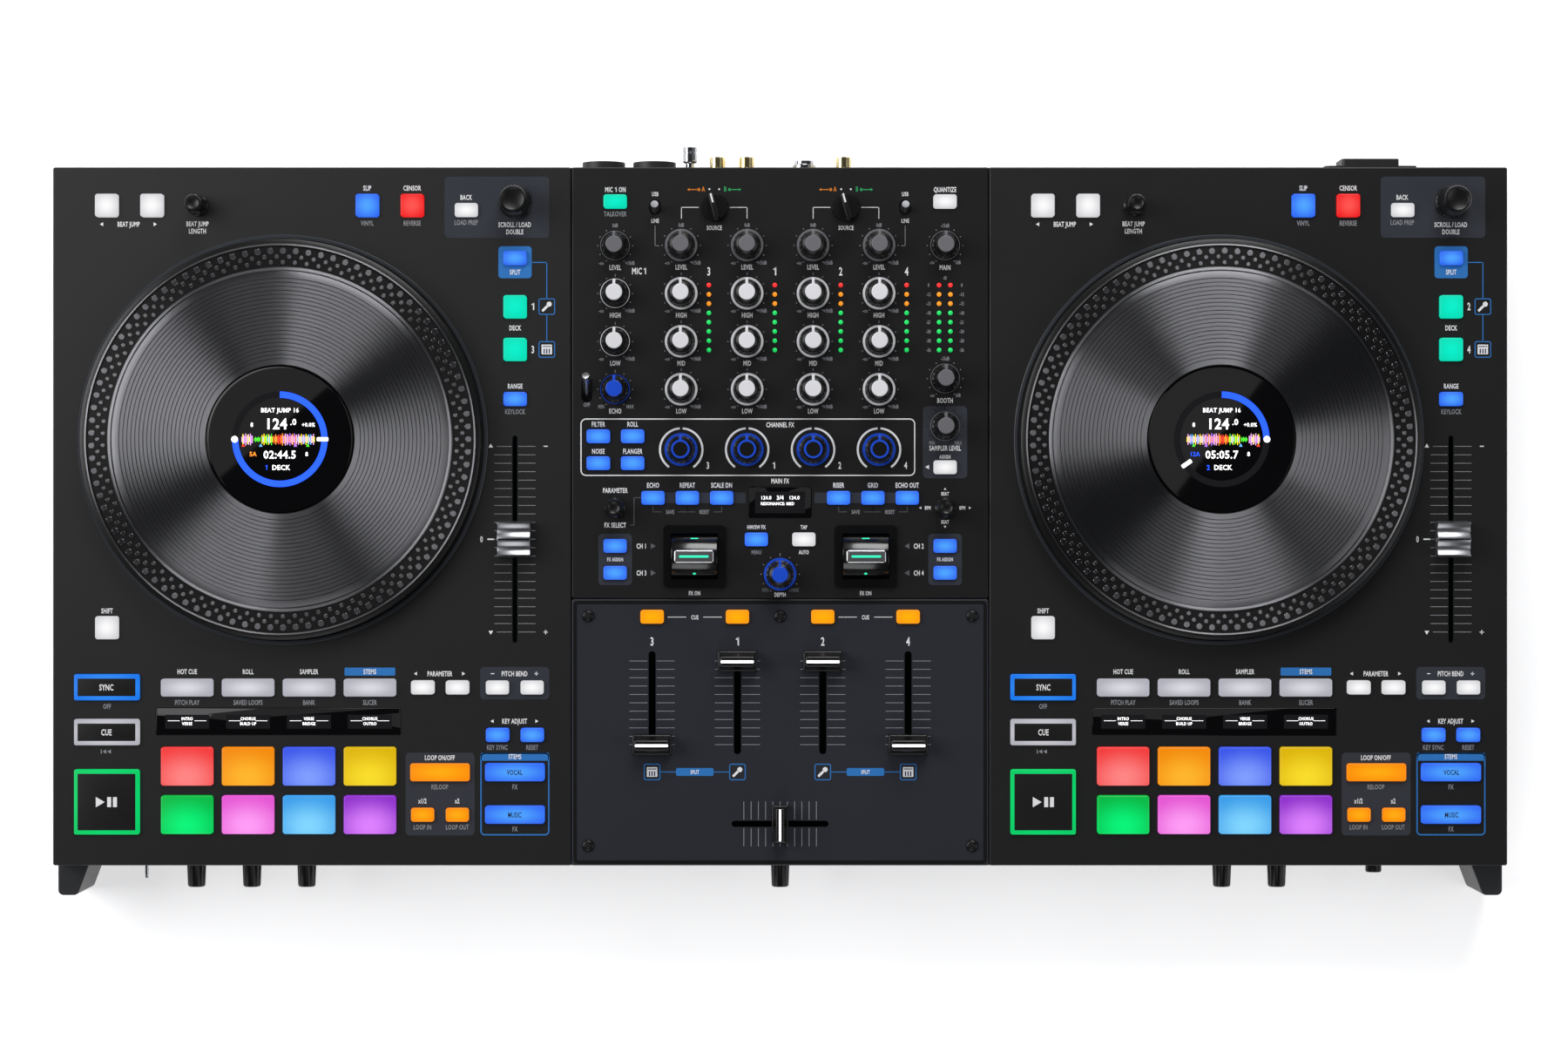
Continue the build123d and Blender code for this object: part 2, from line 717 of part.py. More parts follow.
for side, (x, y) in zip(("left", "right"), paddles):
    with BuildPart() as paddle:
        with BuildSketch(Plane.YZ.offset(x - drum_width / 2)):
            with Locations((y, axle_z)):
                Circle(drum_radius)
        extrude(amount=drum_width)
        with BuildSketch(Plane.YZ.offset(x - axle_length / 2)):
            with Locations((y, axle_z)):
                Circle(axle_radius)
        extrude(amount=axle_length)
        with BuildSketch(Plane.XY.offset(lever_root)):
            with Locations((x, y)):
                RectangleRounded(*lever_size, 1.5)
        extrude(amount=panel_top + lever_top - lever_root, taper=4)
        fillet(paddle.edges().group_by(Axis.Z)[-1], radius=0.8)
    finish(f"{side}_fx_paddle", paddle.part)

# ---------------------------------------------------------------- sockets
with BuildPart() as panel_sockets:
    inner = rear_y - mic_socket_depth
    with BuildSketch(Plane.XZ.offset(-inner)):
        with Locations(*[(x, socket_z) for x in mic_sockets]):
            Circle(mic_socket_radius)
    extrude(amount=-(mic_socket_depth + mic_socket_reach))
    with BuildSketch(Plane.XZ.offset(-(inner + mic_socket_floor))):
        with Locations(*[(x, socket_z) for x in mic_sockets]):
            Circle(mic_socket_bore)
    extrude(amount=-(mic_socket_depth + mic_socket_reach), mode=Mode.SUBTRACT)
    with BuildSketch(Plane.XZ.offset(-(rear_y - inlet_depth))):
        with Locations((inlet_x, socket_z)):
            RectangleRounded(*inlet_body, 2.0)
    extrude(amount=-(inlet_depth + inlet_reach))
    with BuildSketch(Plane.XZ.offset(-rear_y)):
        with Locations((inlet_x, socket_z)):
            RectangleRounded(*inlet_flange, 3.0)
    extrude(amount=-inlet_flange_thickness)
    with BuildSketch(Plane.XZ.offset(-(rear_y + inlet_reach))):
        with Locations((inlet_x, socket_z)):
            RectangleRounded(*inlet_cavity, 2.0)
    extrude(amount=inlet_reach + inlet_depth - inlet_floor, mode=Mode.SUBTRACT)
    with BuildSketch(Plane.XZ.offset(-(rear_y - data_depth))):
        with Locations(*[(x, socket_z) for x in data_ports]):
            Rectangle(*data_body)
    extrude(amount=-(data_depth + data_reach))
    with BuildSketch(Plane.XZ.offset(-(rear_y + data_reach))):
        with Locations(*[(x, socket_z) for x in data_ports]):
            Rectangle(*data_cavity)
    extrude(amount=data_reach + data_depth - data_floor, mode=Mode.SUBTRACT)
finish("panel_sockets", panel_sockets.part)

with BuildPart() as line_sockets:
    phonos = [(x, z) for x in phono_columns for z in phono_rows]
    with BuildSketch(Plane.XZ.offset(-(rear_y - wall - barrel_depth))):
        with Locations(*phonos):
            Circle(phono_radius)
    extrude(amount=-(phono_reach + wall + barrel_depth))
    with BuildSketch(Plane.XZ.offset(-(rear_y + phono_reach))):
        with Locations(*phonos):
            Circle(phono_pin[0])
    extrude(amount=phono_pin[1], mode=Mode.SUBTRACT)
    with BuildSketch(Plane.XZ.offset(-(rear_y - jack_depth))):
        with Locations((jack_x, socket_z)):
            Circle(jack_radius)
    extrude(amount=-(jack_reach + jack_depth))
    with BuildSketch(Plane.XZ.offset(-(rear_y + jack_reach))):
        with Locations((jack_x, socket_z)):
            Circle(jack_bore)
    extrude(amount=jack_depth, mode=Mode.SUBTRACT)
    with BuildSketch(Plane.XZ.offset(-(rear_y - wall - earth_depth))):
        with Locations((earth_x, socket_z)):
            Circle(earth_radius)
    extrude(amount=-(wall + earth_depth + post_reach))
    with BuildSketch(Plane.XZ.offset(-(front_y + wall + headphone_depth))):
        with Locations((headphone_x, front_knob_z)):
            Circle(headphone_bush)
    extrude(amount=headphone_reach + wall + headphone_depth)
    with BuildSketch(Plane.XZ.offset(-(front_y - headphone_reach))):
        with Locations((headphone_x, front_knob_z)):
            Circle(headphone_bore)
    extrude(amount=-(headphone_reach + wall + headphone_depth - headphone_floor), mode=Mode.SUBTRACT)
finish("line_sockets", line_sockets.part)

# ---------------------------------------------------------------- circuit boards on the bottom plate
board_thickness = 1.6
board_rise = 6.0
board_margin = 14.0
board_setback = 40.0        # from the front and rear walls
post_inset = 8.0
standoff_radius = 3.0
with BuildPart() as circuit_boards:
    board_z = case_bottom + board_rise
    boards = [(s * deck_x, body_y, deck_width - 2 * board_margin) for s in (-1, 1)]
    boards.append((0, body_y, mixer_width - 2 * board_margin))
    board_depth = body_depth - 2 * board_setback
    with BuildSketch(Plane.XY.offset(board_z)):
        rounded([(x, y, width, board_depth) for x, y, width in boards], 0, 2.0)
        with Locations(*hubs):
            Circle(post_radius + 2.0, mode=Mode.SUBTRACT)
    extrude(amount=board_thickness)
    posts = [
        (x + sx * (width / 2 - post_inset), y + sy * (board_depth / 2 - post_inset))
        for x, y, width in boards for sx in (-1, 1) for sy in (-1, 1)
    ]
    with BuildSketch(Plane.XY.offset(case_bottom)):
        with Locations(*posts):
            Circle(standoff_radius)
    extrude(amount=board_rise)
finish("circuit_boards", circuit_boards.part)
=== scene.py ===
# %% [markdown]
# # Dressing a two-deck controller
# The design is finished elsewhere: it arrives as a fixed frame of plain solids that already have their real
# sizes and joints. This lesson gives each of them its finish, and adds the small things a maker prints,
# moulds or screws on. Loading the frame comes first, because every later piece takes its place from it.

# %% Load the frame
import math

import bmesh
import bpy
from mathutils import Matrix, Vector


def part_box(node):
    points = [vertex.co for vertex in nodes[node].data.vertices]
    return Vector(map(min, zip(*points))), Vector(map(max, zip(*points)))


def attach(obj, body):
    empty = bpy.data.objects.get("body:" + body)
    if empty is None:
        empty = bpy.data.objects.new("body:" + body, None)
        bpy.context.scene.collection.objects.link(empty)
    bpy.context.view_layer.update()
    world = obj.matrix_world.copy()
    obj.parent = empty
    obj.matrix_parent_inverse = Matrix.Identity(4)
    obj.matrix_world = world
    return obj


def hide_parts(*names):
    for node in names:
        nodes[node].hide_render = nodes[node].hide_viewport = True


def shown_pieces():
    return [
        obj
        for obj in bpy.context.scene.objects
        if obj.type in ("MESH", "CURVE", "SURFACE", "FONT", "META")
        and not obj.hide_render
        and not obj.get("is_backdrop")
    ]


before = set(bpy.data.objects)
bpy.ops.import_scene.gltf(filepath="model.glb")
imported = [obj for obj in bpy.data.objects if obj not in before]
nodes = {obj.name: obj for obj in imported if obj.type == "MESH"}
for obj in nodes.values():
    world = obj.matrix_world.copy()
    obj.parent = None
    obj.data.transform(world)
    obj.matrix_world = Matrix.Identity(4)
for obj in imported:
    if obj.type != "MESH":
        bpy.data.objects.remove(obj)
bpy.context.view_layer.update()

# %% [markdown]
# ## Working in millimetres
# Panels like these are drawn in millimetres, so every helper below works in millimetres and `piece` brings
# the finished mesh down to metres once. The reference heights and centre lines are read from the frame, so
# that they follow it.

# %% Reference lines
mm = 0.001


def corners(node):
    """A node's lowest and highest corner, in millimetres."""
    low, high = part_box(node)
    return low / mm, high / mm


def middle(node):
    """The middle of a node's box, in millimetres."""
    low, high = corners(node)
    return (low + high) / 2


face = corners("left_deck_panel")[1].z
body_y = middle("side_panels").y
case_low, case_high = corners("side_panels")
platter_offset = -15.7
deck_x = {side: middle(f"{side}_platter").x - platter_offset for side in ("left", "right")}
print("playing face at", round(face, 2), "mm, deck centre lines at", [round(x, 2) for x in deck_x.values()])

# %% [markdown]
# ## Small modelling helpers
# Most of the object is rounded blocks, turned shapes and flat print. Each helper starts from a bmesh
# primitive or a few points and lets an operator make the rest: bevel for rounded blocks, spin for turned
# shapes, inset for outlines. They return a small bmesh, and `stamp` adds it to a bigger one, so that a
# hundred dots become one mesh.

# %% Blocks, discs and outlines
BEVEL = dict(affect="EDGES", profile=0.5, material=-1)
corner_steps, edge_steps = 4, 3


def stamp(target, source, material=0):
    """Add source's faces to target with one material slot, and free source."""
    for f in source.faces:
        f.material_index = material
    mesh = bpy.data.meshes.new("stamp")
    source.to_mesh(mesh)
    source.free()
    target.from_mesh(mesh)
    bpy.data.meshes.remove(mesh)
    return target


def placed(bm, x, y, z=0.0, turn=0.0, axis="Z"):
    """Turn a small bmesh about an axis through its own origin, in degrees, then move it to its place."""
    bmesh.ops.rotate(bm, cent=(0, 0, 0), matrix=Matrix.Rotation(math.radians(turn), 3, axis), verts=bm.verts)
    bmesh.ops.translate(bm, vec=(x, y, z), verts=bm.verts)
    return bm


def slab(x, y, width, depth, low, high, corner=0.0, edge=0.0, taper=(1.0, 1.0)):
    """A rounded block: corner rounds its plan, edge its upper rim, and taper narrows its top."""
    bm = bmesh.new()
    bmesh.ops.create_cube(bm, size=1)
    bmesh.ops.scale(bm, vec=(width, depth, high - low), verts=bm.verts)
    bmesh.ops.translate(bm, vec=(0, 0, (low + high) / 2), verts=bm.verts)
    crown = [v for v in bm.verts if v.co.z > (low + high) / 2]
    bmesh.ops.scale(bm, vec=(*taper, 1), verts=crown)
    if corner:
        upright = [e for e in bm.edges if (e.verts[0] in crown) != (e.verts[1] in crown)]
        bmesh.ops.bevel(bm, geom=upright, offset=corner, segments=corner_steps, **BEVEL)
    if edge:
        rim = [e for e in bm.edges if min(v.co.z for v in e.verts) > high - 1e-3]
        bmesh.ops.bevel(bm, geom=rim, offset=edge, segments=edge_steps, **BEVEL)
    bmesh.ops.translate(bm, vec=(x, y, 0), verts=bm.verts)
    return bm


def disc(x, y, radius, low, high, segments=24):
    """A round plate."""
    bm = bmesh.new()
    bmesh.ops.create_cone(
        bm, cap_ends=True, segments=segments, radius1=radius, radius2=radius, depth=high - low,
        matrix=Matrix.Translation((x, y, (low + high) / 2)),
    )
    return bm


def arrow(x, y, size, angle, low, high):
    """A flat three-cornered arrow, pointing along angle."""
    return placed(disc(0, 0, size, low, high, segments=3), x, y, turn=angle - 90)


def outline(x, y, width, depth, corner, line, low, high):
    """A rounded frame of one line width, lying flat."""
    bm = bmesh.new()
    bmesh.ops.create_grid(bm, x_segments=1, y_segments=1, size=0.5)
    bmesh.ops.scale(bm, vec=(width, depth, 1), verts=bm.verts)
    if corner:
        bmesh.ops.bevel(bm, geom=bm.verts[:], offset=corner, segments=5, **{**BEVEL, "affect": "VERTICES"})
    bm.faces.ensure_lookup_table()
    inside = bm.faces[0]
    bmesh.ops.inset_region(bm, faces=[inside], thickness=line, use_even_offset=True, use_boundary=True)
    bmesh.ops.delete(bm, geom=[inside], context="FACES")
    raised = bmesh.ops.extrude_face_region(bm, geom=bm.faces[:])["geom"]
    upper = [v for v in raised if isinstance(v, bmesh.types.BMVert)]
    bmesh.ops.translate(bm, vec=(0, 0, high - low), verts=upper)
    bmesh.ops.translate(bm, vec=(x, y, low), verts=bm.verts)
    bmesh.ops.recalc_face_normals(bm, faces=bm.faces)
    return bm


# %% Turned shapes
def turned(profile, x=0.0, y=0.0, steps=48, closed=False):
    """Spin radius and height pairs about the vertical through x, y."""
    bm = bmesh.new()
    points = [bm.verts.new((r, 0, z)) for r, z in profile]
    pairs = list(zip(points, points[1:])) + ([(points[-1], points[0])] if closed else [])
    edges = [bm.edges.new(pair) for pair in pairs]
    bmesh.ops.spin(bm, geom=points + edges, cent=(0, 0, 0), axis=(0, 0, 1), angle=2 * math.pi, steps=steps,
                   use_merge=True)
    bmesh.ops.remove_doubles(bm, verts=bm.verts, dist=1e-4)
    bmesh.ops.recalc_face_normals(bm, faces=bm.faces)
    bmesh.ops.translate(bm, vec=(x, y, 0), verts=bm.verts)
    return bm


def arc_band(x, y, inner, outer, start, end, low, high, steps=40):
    """A flat curved band from start to end, in degrees counted from the right."""
    bm = bmesh.new()
    ends = [bm.verts.new((r, 0, z)) for r, z in ((inner, low), (outer, low), (outer, high), (inner, high))]
    first = bm.faces.new(ends)
    bmesh.ops.rotate(bm, cent=(0, 0, 0), matrix=Matrix.Rotation(math.radians(start), 3, "Z"), verts=ends)
    bmesh.ops.spin(bm, geom=[first, *first.edges, *first.verts], cent=(0, 0, 0), axis=(0, 0, 1),
                   angle=math.radians(end - start), steps=steps)
    bmesh.ops.recalc_face_normals(bm, faces=bm.faces)
    bmesh.ops.translate(bm, vec=(x, y, 0), verts=bm.verts)
    return bm


def ribbed(bm, x, y, ribs, depth, low, high, least=0.0):
    """Press shallow ribs into the side of a turned shape, between two heights."""
    for v in bm.verts:
        dx, dy = v.co.x - x, v.co.y - y
        r = math.hypot(dx, dy)
        if low <= v.co.z <= high and r > least:
            swing = depth * (0.5 + 0.5 * math.cos(ribs * math.atan2(dy, dx))) / r
            v.co.x -= dx * swing
            v.co.y -= dy * swing
    return bm


# %% Finished pieces
new_pieces = []
sharp_from = 34             # degrees between two faces from which their edge looks sharp


def piece(name, bm, materials, body="chassis"):
    """Turn a bmesh in millimetres into an object in metres that rides on a body."""
    mesh = bpy.data.meshes.new(name)
    bm.to_mesh(mesh)
    bm.free()
    mesh.transform(Matrix.Scale(mm, 4))
    for material in materials if isinstance(materials, (list, tuple)) else [materials]:
        mesh.materials.append(material)
    mesh.polygons.foreach_set("use_smooth", [True] * len(mesh.polygons))
    mesh.set_sharp_from_angle(angle=math.radians(sharp_from))
    made = bpy.data.objects.new(name, mesh)
    bpy.context.scene.collection.objects.link(made)
    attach(made, body)
    new_pieces.append(made)
    return made


def tally(what):
    """Print how many pieces a step made, and their faces."""
    faces = sum(len(made.data.polygons) for made in new_pieces)
    print(f"{what}: {len(new_pieces)} pieces, {faces} faces")
    new_pieces.clear()


# %% [markdown]
# ## Finishes
# Colours are written as the hex values a designer would give, and turned into the linear numbers that shaders
# use. Two effects return in many finishes: the fine grain of moulded and powder-coated surfaces, and the soft
# light spot of a key lit from below. Each is a node group with named sockets, so that every finish can set
# its own amounts.

# %% Colour helper
def tone(code):
    """#rrggbb to linear red, green and blue, with a full alpha."""
    values = [int(code[i:i + 2], 16) / 255 for i in (1, 3, 5)]
    return (*[v / 12.92 if v <= 0.04045 else ((v + 0.055) / 1.055) ** 2.4 for v in values], 1.0)


def new_group(name, inputs, outputs):
    """An empty shader group with its sockets, and its input and output nodes."""
    group = bpy.data.node_groups.new(name, "ShaderNodeTree")
    for label, kind, value in inputs:
        socket = group.interface.new_socket(label, in_out="INPUT", socket_type=kind)
        socket.default_value = value
    for label, kind in outputs:
        group.interface.new_socket(label, in_out="OUTPUT", socket_type=kind)
    return group, group.nodes.new("NodeGroupInput"), group.nodes.new("NodeGroupOutput")


# %% The grain group
grain, grain_in, grain_out = new_group(
    "surface_grain",
    [("Color", "NodeSocketColor", (0.1, 0.1, 0.1, 1)), ("Patches", "NodeSocketFloat", 0.1),
     ("Grain size", "NodeSocketFloat", 900.0), ("Grain depth", "NodeSocketFloat", 0.2),
     ("Roughness", "NodeSocketFloat", 0.5), ("Roughness spread", "NodeSocketFloat", 0.1)],
    [("Color", "NodeSocketColor"), ("Roughness", "NodeSocketFloat"), ("Normal", "NodeSocketVector")],
)


def grain_nodes(tree):
    """Noise at two scales: a broad one tints the colour, a fine one raises the grain."""
    add, link = tree.nodes.new, tree.links.new
    place = add("ShaderNodeTexCoord")
    fine = add("ShaderNodeTexNoise")
    fine.inputs["Detail"].default_value = 3.0
    link(place.outputs["Object"], fine.inputs["Vector"])
    link(grain_in.outputs["Grain size"], fine.inputs["Scale"])
    broad = add("ShaderNodeTexNoise")
    broad.inputs["Scale"].default_value = 9.0
    broad.inputs["Detail"].default_value = 4.0
    link(place.outputs["Object"], broad.inputs["Vector"])
    centred = add("ShaderNodeMath")
    centred.operation = "MULTIPLY_ADD"
    centred.inputs[1].default_value = 2.0
    centred.inputs[2].default_value = -1.0
    link(broad.outputs["Fac"], centred.inputs[0])
    gain = add("ShaderNodeMath")
    gain.operation = "MULTIPLY_ADD"
    gain.inputs[2].default_value = 1.0
    link(centred.outputs[0], gain.inputs[0])
    link(grain_in.outputs["Patches"], gain.inputs[1])
    tint = add("ShaderNodeVectorMath")
    tint.operation = "SCALE"
    link(grain_in.outputs["Color"], tint.inputs[0])
    link(gain.outputs[0], tint.inputs["Scale"])
    link(tint.outputs[0], grain_out.inputs["Color"])
    rough = add("ShaderNodeMath")
    rough.operation = "MULTIPLY_ADD"
    link(centred.outputs[0], rough.inputs[0])
    link(grain_in.outputs["Roughness spread"], rough.inputs[1])
    link(grain_in.outputs["Roughness"], rough.inputs[2])
    link(rough.outputs[0], grain_out.inputs["Roughness"])
    bump = add("ShaderNodeBump")
    bump.inputs["Distance"].default_value = 0.00012
    link(grain_in.outputs["Grain depth"], bump.inputs["Strength"])
    link(fine.outputs["Fac"], bump.inputs["Height"])
    link(bump.outputs["Normal"], grain_out.inputs["Normal"])


grain_nodes(grain)


# %% Grained finishes
def grained(name, code, roughness=0.45, patches=0.12, size=900.0, depth=0.25, spread=0.05, metallic=0.0,
            specular=0.5, coat=0.0):
    """A plastic, paint or metal with a grain of its own."""
    material = bpy.data.materials.new(name)
    material.use_nodes = True
    tree = material.node_tree
    shader = tree.nodes["Principled BSDF"]
    shader.inputs["Metallic"].default_value = metallic
    shader.inputs["Specular IOR Level"].default_value = specular
    shader.inputs["Coat Weight"].default_value = coat
    shader.inputs["Coat Roughness"].default_value = 0.1
    surface = tree.nodes.new("ShaderNodeGroup")
    surface.node_tree = grain
    surface.inputs["Color"].default_value = tone(code)
    surface.inputs["Patches"].default_value = patches
    surface.inputs["Grain size"].default_value = size
    surface.inputs["Grain depth"].default_value = depth
    surface.inputs["Roughness"].default_value = roughness
    surface.inputs["Roughness spread"].default_value = spread
    tree.links.new(surface.outputs["Color"], shader.inputs["Base Color"])
    tree.links.new(surface.outputs["Roughness"], shader.inputs["Roughness"])
    if depth:
        tree.links.new(surface.outputs["Normal"], shader.inputs["Normal"])
    return material


case_plastic = grained("case_plastic", "#1a1a1c", 0.5, size=1400, depth=0.4)
leg_plastic = grained("leg_plastic", "#2b2c2f", 0.45, size=1400, depth=0.3)
base_coat = grained("base_powder_coat", "#161617", 0.6, size=700, depth=0.6)
deck_paint = grained("deck_paint", "#161617", 0.4, patches=0.08, size=1600, depth=0.15, specular=0.3)
mixer_paint = grained("mixer_paint", "#101011", 0.42, patches=0.08, size=1600, depth=0.15, specular=0.25)
fader_paint = grained("fader_paint", "#272930", 0.45, patches=0.05, size=1600, depth=0.12, specular=0.25)
tinted_paint = grained("tinted_paint", "#32353c", 0.45, patches=0.04, size=1600, depth=0.1, specular=0.25)
rim_paint = grained("jog_rim", "#33363b", 0.35, patches=0.05, size=1600, depth=0.1, specular=0.3)
# black rubber for the feet; the screws' crosses take it too, as painted shade where their slots are
rubber_and_slot_shade = grained("black_rubber_and_slot_shade", "#121212", 0.75, size=500, depth=0.6)
window_glass = grained("window_glass", "#050506", 0.02, patches=0.06, depth=0.0, spread=0.004)
dark_gloss = grained("dark_gloss", "#0b0b0c", 0.2, size=300, depth=0.03, coat=0.4)
grip_rubber = grained("knob_grip", "#0d0d0e", 0.36, size=1200, depth=0.2, specular=0.4)
knob_white = grained("knob_white", "#dcdce0", 0.4, size=900, depth=0.08)
knob_grey = grained("knob_grey", "#68686c", 0.42, size=900, depth=0.08)
knob_blue = grained("knob_blue", "#1148c8", 0.4, size=900, depth=0.08)
cap_black = grained("fader_cap_black", "#0c0c0d", 0.28, size=900, depth=0.08)
bright_steel = grained("bright_steel", "#c9cacd", 0.22, size=600, depth=0.06, metallic=1.0)
satin_metal = grained("satin_metal", "#a4a5a9", 0.32, size=2500, depth=0.2, metallic=1.0)
black_steel = grained("black_steel", "#1b1b1d", 0.35, size=600, depth=0.1, metallic=0.6)
dull_metal = grained("dull_metal", "#77787c", 0.45, size=1500, depth=0.15, metallic=1.0)
gold_plate = grained("gold_plate", "#ead9a4", 0.22, size=600, depth=0.08, metallic=1.0)
solder_green = grained("board_green", "#0d3b22", 0.4, size=300, depth=0.2)
ink_white = grained("ink_white", "#e4e4e6", 0.6, patches=0.03, depth=0.0)
ink_grey = grained("ink_grey", "#85868b", 0.6, patches=0.03, depth=0.0)
ink_dim = grained("ink_dim", "#55565b", 0.6, patches=0.03, depth=0.0)
ink_blue = grained("ink_blue", "#1f6fb8", 0.55, patches=0.03, depth=0.0)
ink_navy = grained("ink_navy", "#10214f", 0.55, patches=0.03, depth=0.0)
ink_orange = grained("ink_orange", "#d97a12", 0.55, patches=0.03, depth=0.0)
ink_green = grained("ink_green", "#16a05a", 0.55, patches=0.03, depth=0.0)
nickel = grained("nickel", "#b9babd", 0.18, size=600, depth=0.05, metallic=1.0)
socket_white = grained("socket_white", "#d8d8d4", 0.35, size=600, depth=0.05)
socket_red = grained("socket_red", "#b01818", 0.35, size=600, depth=0.05)
print(len(bpy.data.materials), "grained finishes")

# %% [markdown]
# ## Light from below
# A key or pad is a milky cap over a small lamp, so it is brightest above the lamp and fades towards its rim.
# Each cap carries its own UV square, the group measures the distance from the lamp in it, and the material
# mixes the bright and the dim colour into its emission. The cap keeps a real surface, so it still catches the
# room's light.

# %% The light spot group
spot, spot_in, spot_out = new_group(
    "light_spot",
    [("Bright", "NodeSocketColor", (1, 1, 1, 1)), ("Dim", "NodeSocketColor", (0.5, 0.5, 0.5, 1)),
     ("Lamp U", "NodeSocketFloat", 0.5), ("Lamp V", "NodeSocketFloat", 0.5), ("Reach", "NodeSocketFloat", 0.7)],
    [("Color", "NodeSocketColor")],
)


def spot_nodes(tree):
    """Distance from the lamp in the cap's own square, turned into a soft step."""
    add, link = tree.nodes.new, tree.links.new
    uv = add("ShaderNodeUVMap")
    uv.uv_map = "cap"
    lamp = add("ShaderNodeCombineXYZ")
    link(spot_in.outputs["Lamp U"], lamp.inputs["X"])
    link(spot_in.outputs["Lamp V"], lamp.inputs["Y"])
    apart = add("ShaderNodeVectorMath")
    apart.operation = "DISTANCE"
    link(uv.outputs["UV"], apart.inputs[0])
    link(lamp.outputs["Vector"], apart.inputs[1])
    fall = add("ShaderNodeMapRange")
    fall.interpolation_type = "SMOOTHSTEP"
    link(apart.outputs["Value"], fall.inputs["Value"])
    link(spot_in.outputs["Reach"], fall.inputs["From Max"])
    blend = add("ShaderNodeMix")
    blend.data_type = "RGBA"
    link(fall.outputs["Result"], blend.inputs["Factor"])
    link(spot_in.outputs["Bright"], blend.inputs[6])
    link(spot_in.outputs["Dim"], blend.inputs[7])
    link(blend.outputs[2], spot_out.inputs["Color"])


spot_nodes(spot)


def lit(name, bright, dim, strength=0.9, lamp=(0.5, 0.5), reach=0.7):
    """A milky cap that glows around its lamp."""
    material = bpy.data.materials.new(name)
    material.use_nodes = True
    tree = material.node_tree
    shader = tree.nodes["Principled BSDF"]
    shader.inputs["Roughness"].default_value = 0.35
    shader.inputs["Specular IOR Level"].default_value = 0.3
    shader.inputs["Emission Strength"].default_value = strength
    glow = tree.nodes.new("ShaderNodeGroup")
    glow.node_tree = spot
    glow.inputs["Bright"].default_value = tone(bright)
    glow.inputs["Dim"].default_value = tone(dim)
    glow.inputs["Lamp U"].default_value, glow.inputs["Lamp V"].default_value = lamp
    glow.inputs["Reach"].default_value = reach
    tree.links.new(glow.outputs["Color"], shader.inputs["Emission Color"])
    body = tree.nodes.new("ShaderNodeVectorMath")
    body.operation = "SCALE"
    body.inputs["Scale"].default_value = 0.12
    tree.links.new(glow.outputs["Color"], body.inputs[0])
    tree.links.new(body.outputs[0], shader.inputs["Base Color"])
    return material


key_light = {
    "white": lit("key_white", "#ffffff", "#d4d4d8", 0.86),
    "blue": lit("key_blue", "#4fa4ff", "#2f68f5"),
    "green": lit("key_green", "#00efcb", "#00dcb4"),
    "red": lit("key_red", "#ff5450", "#f01a1c"),
    "orange": lit("key_orange", "#ffab0a", "#ff8a00"),
    "amber": lit("key_amber", "#ffb000", "#ff9b0a"),
    "mode": lit("key_mode", "#e6e6ee", "#b9b9c4", 0.78, reach=0.6),
    "sync": lit("frame_blue", "#3f9bff", "#1576ea"),
    "cue": lit("frame_white", "#e2e2e8", "#b4b4bd", 0.85),
    "play": lit("frame_green", "#00e67c", "#00cc66"),
}
pad_lamp = (0.5, 0.22)
pad_light = [
    lit("pad_coral", "#ff8484", "#f23c3c", lamp=pad_lamp, reach=0.85),
    lit("pad_orange", "#ffb62a", "#f28a00", lamp=pad_lamp, reach=0.85),
    lit("pad_periwinkle", "#7f9cff", "#3a56e8", lamp=pad_lamp, reach=0.85),
    lit("pad_yellow", "#f9dd28", "#dcb400", lamp=pad_lamp, reach=0.85),
    lit("pad_green", "#00f47a", "#00b845", lamp=pad_lamp, reach=0.85),
    lit("pad_pink", "#ff9cf6", "#e455d2", lamp=pad_lamp, reach=0.85),
    lit("pad_sky", "#80d6ff", "#3a9de8", lamp=pad_lamp, reach=0.85),
    lit("pad_violet", "#dd80ff", "#9030cc", lamp=pad_lamp, reach=0.85),
]

# %% Lamps and screens
def glowing(name, code, strength=1.0):
    """A small lamp or a screen's lit line: one colour, with a faint grain in its brightness."""
    material = grained(name, code, 0.4, patches=0.04, depth=0.0)
    tree = material.node_tree
    shader = tree.nodes["Principled BSDF"]
    surface = next(n for n in tree.nodes if n.type == "GROUP")
    tree.links.new(surface.outputs["Color"], shader.inputs["Emission Color"])
    shader.inputs["Emission Strength"].default_value = strength
    return material


lamp_red = glowing("lamp_red", "#e62a2a", 0.72)
lamp_orange = glowing("lamp_orange", "#e88a18", 0.72)
lamp_green = glowing("lamp_green", "#12bf58", 0.72)
lamp_mint = glowing("lamp_mint", "#2fd8a2", 0.9)
# the screens' lit white; the fader caps' white lines take it too, and there its glow is painted light with no
# lamp
screen_white_and_painted_glow = glowing("screen_white_and_painted_glow", "#f4f4f6")
screen_blue = glowing("screen_blue", "#1d4fee", 0.95)
screen_slate = grained("screen_slate", "#1c1c1e", 0.15, patches=0.02, depth=0.0)
print(len(bpy.data.materials), "finishes with the lamps and screens")

# %% [markdown]
# ## The case
# The walls, legs and panels of the frame already have the right shape, so they only take a finish. Each
# node's one material slot is filled with the paint or plastic that the real piece has.

# %% Finishes of the frame's own nodes
for name, material in {
    "bottom_plate": base_coat, "front_panel": case_plastic, "rear_panel": case_plastic,
    "side_panels": case_plastic, "front_legs": leg_plastic, "rubber_feet": rubber_and_slot_shade,
    "left_deck_panel": deck_paint, "right_deck_panel": deck_paint, "mixer_panel": mixer_paint,
    "fader_plate": fader_paint, "jog_bearings": bright_steel, "panel_sockets": case_plastic,
    "circuit_boards": solder_green, "paddle_housings": dark_gloss,
}.items():
    nodes[name].data.materials.clear()
    nodes[name].data.materials.append(material)
    print(name, "gets", material.name)

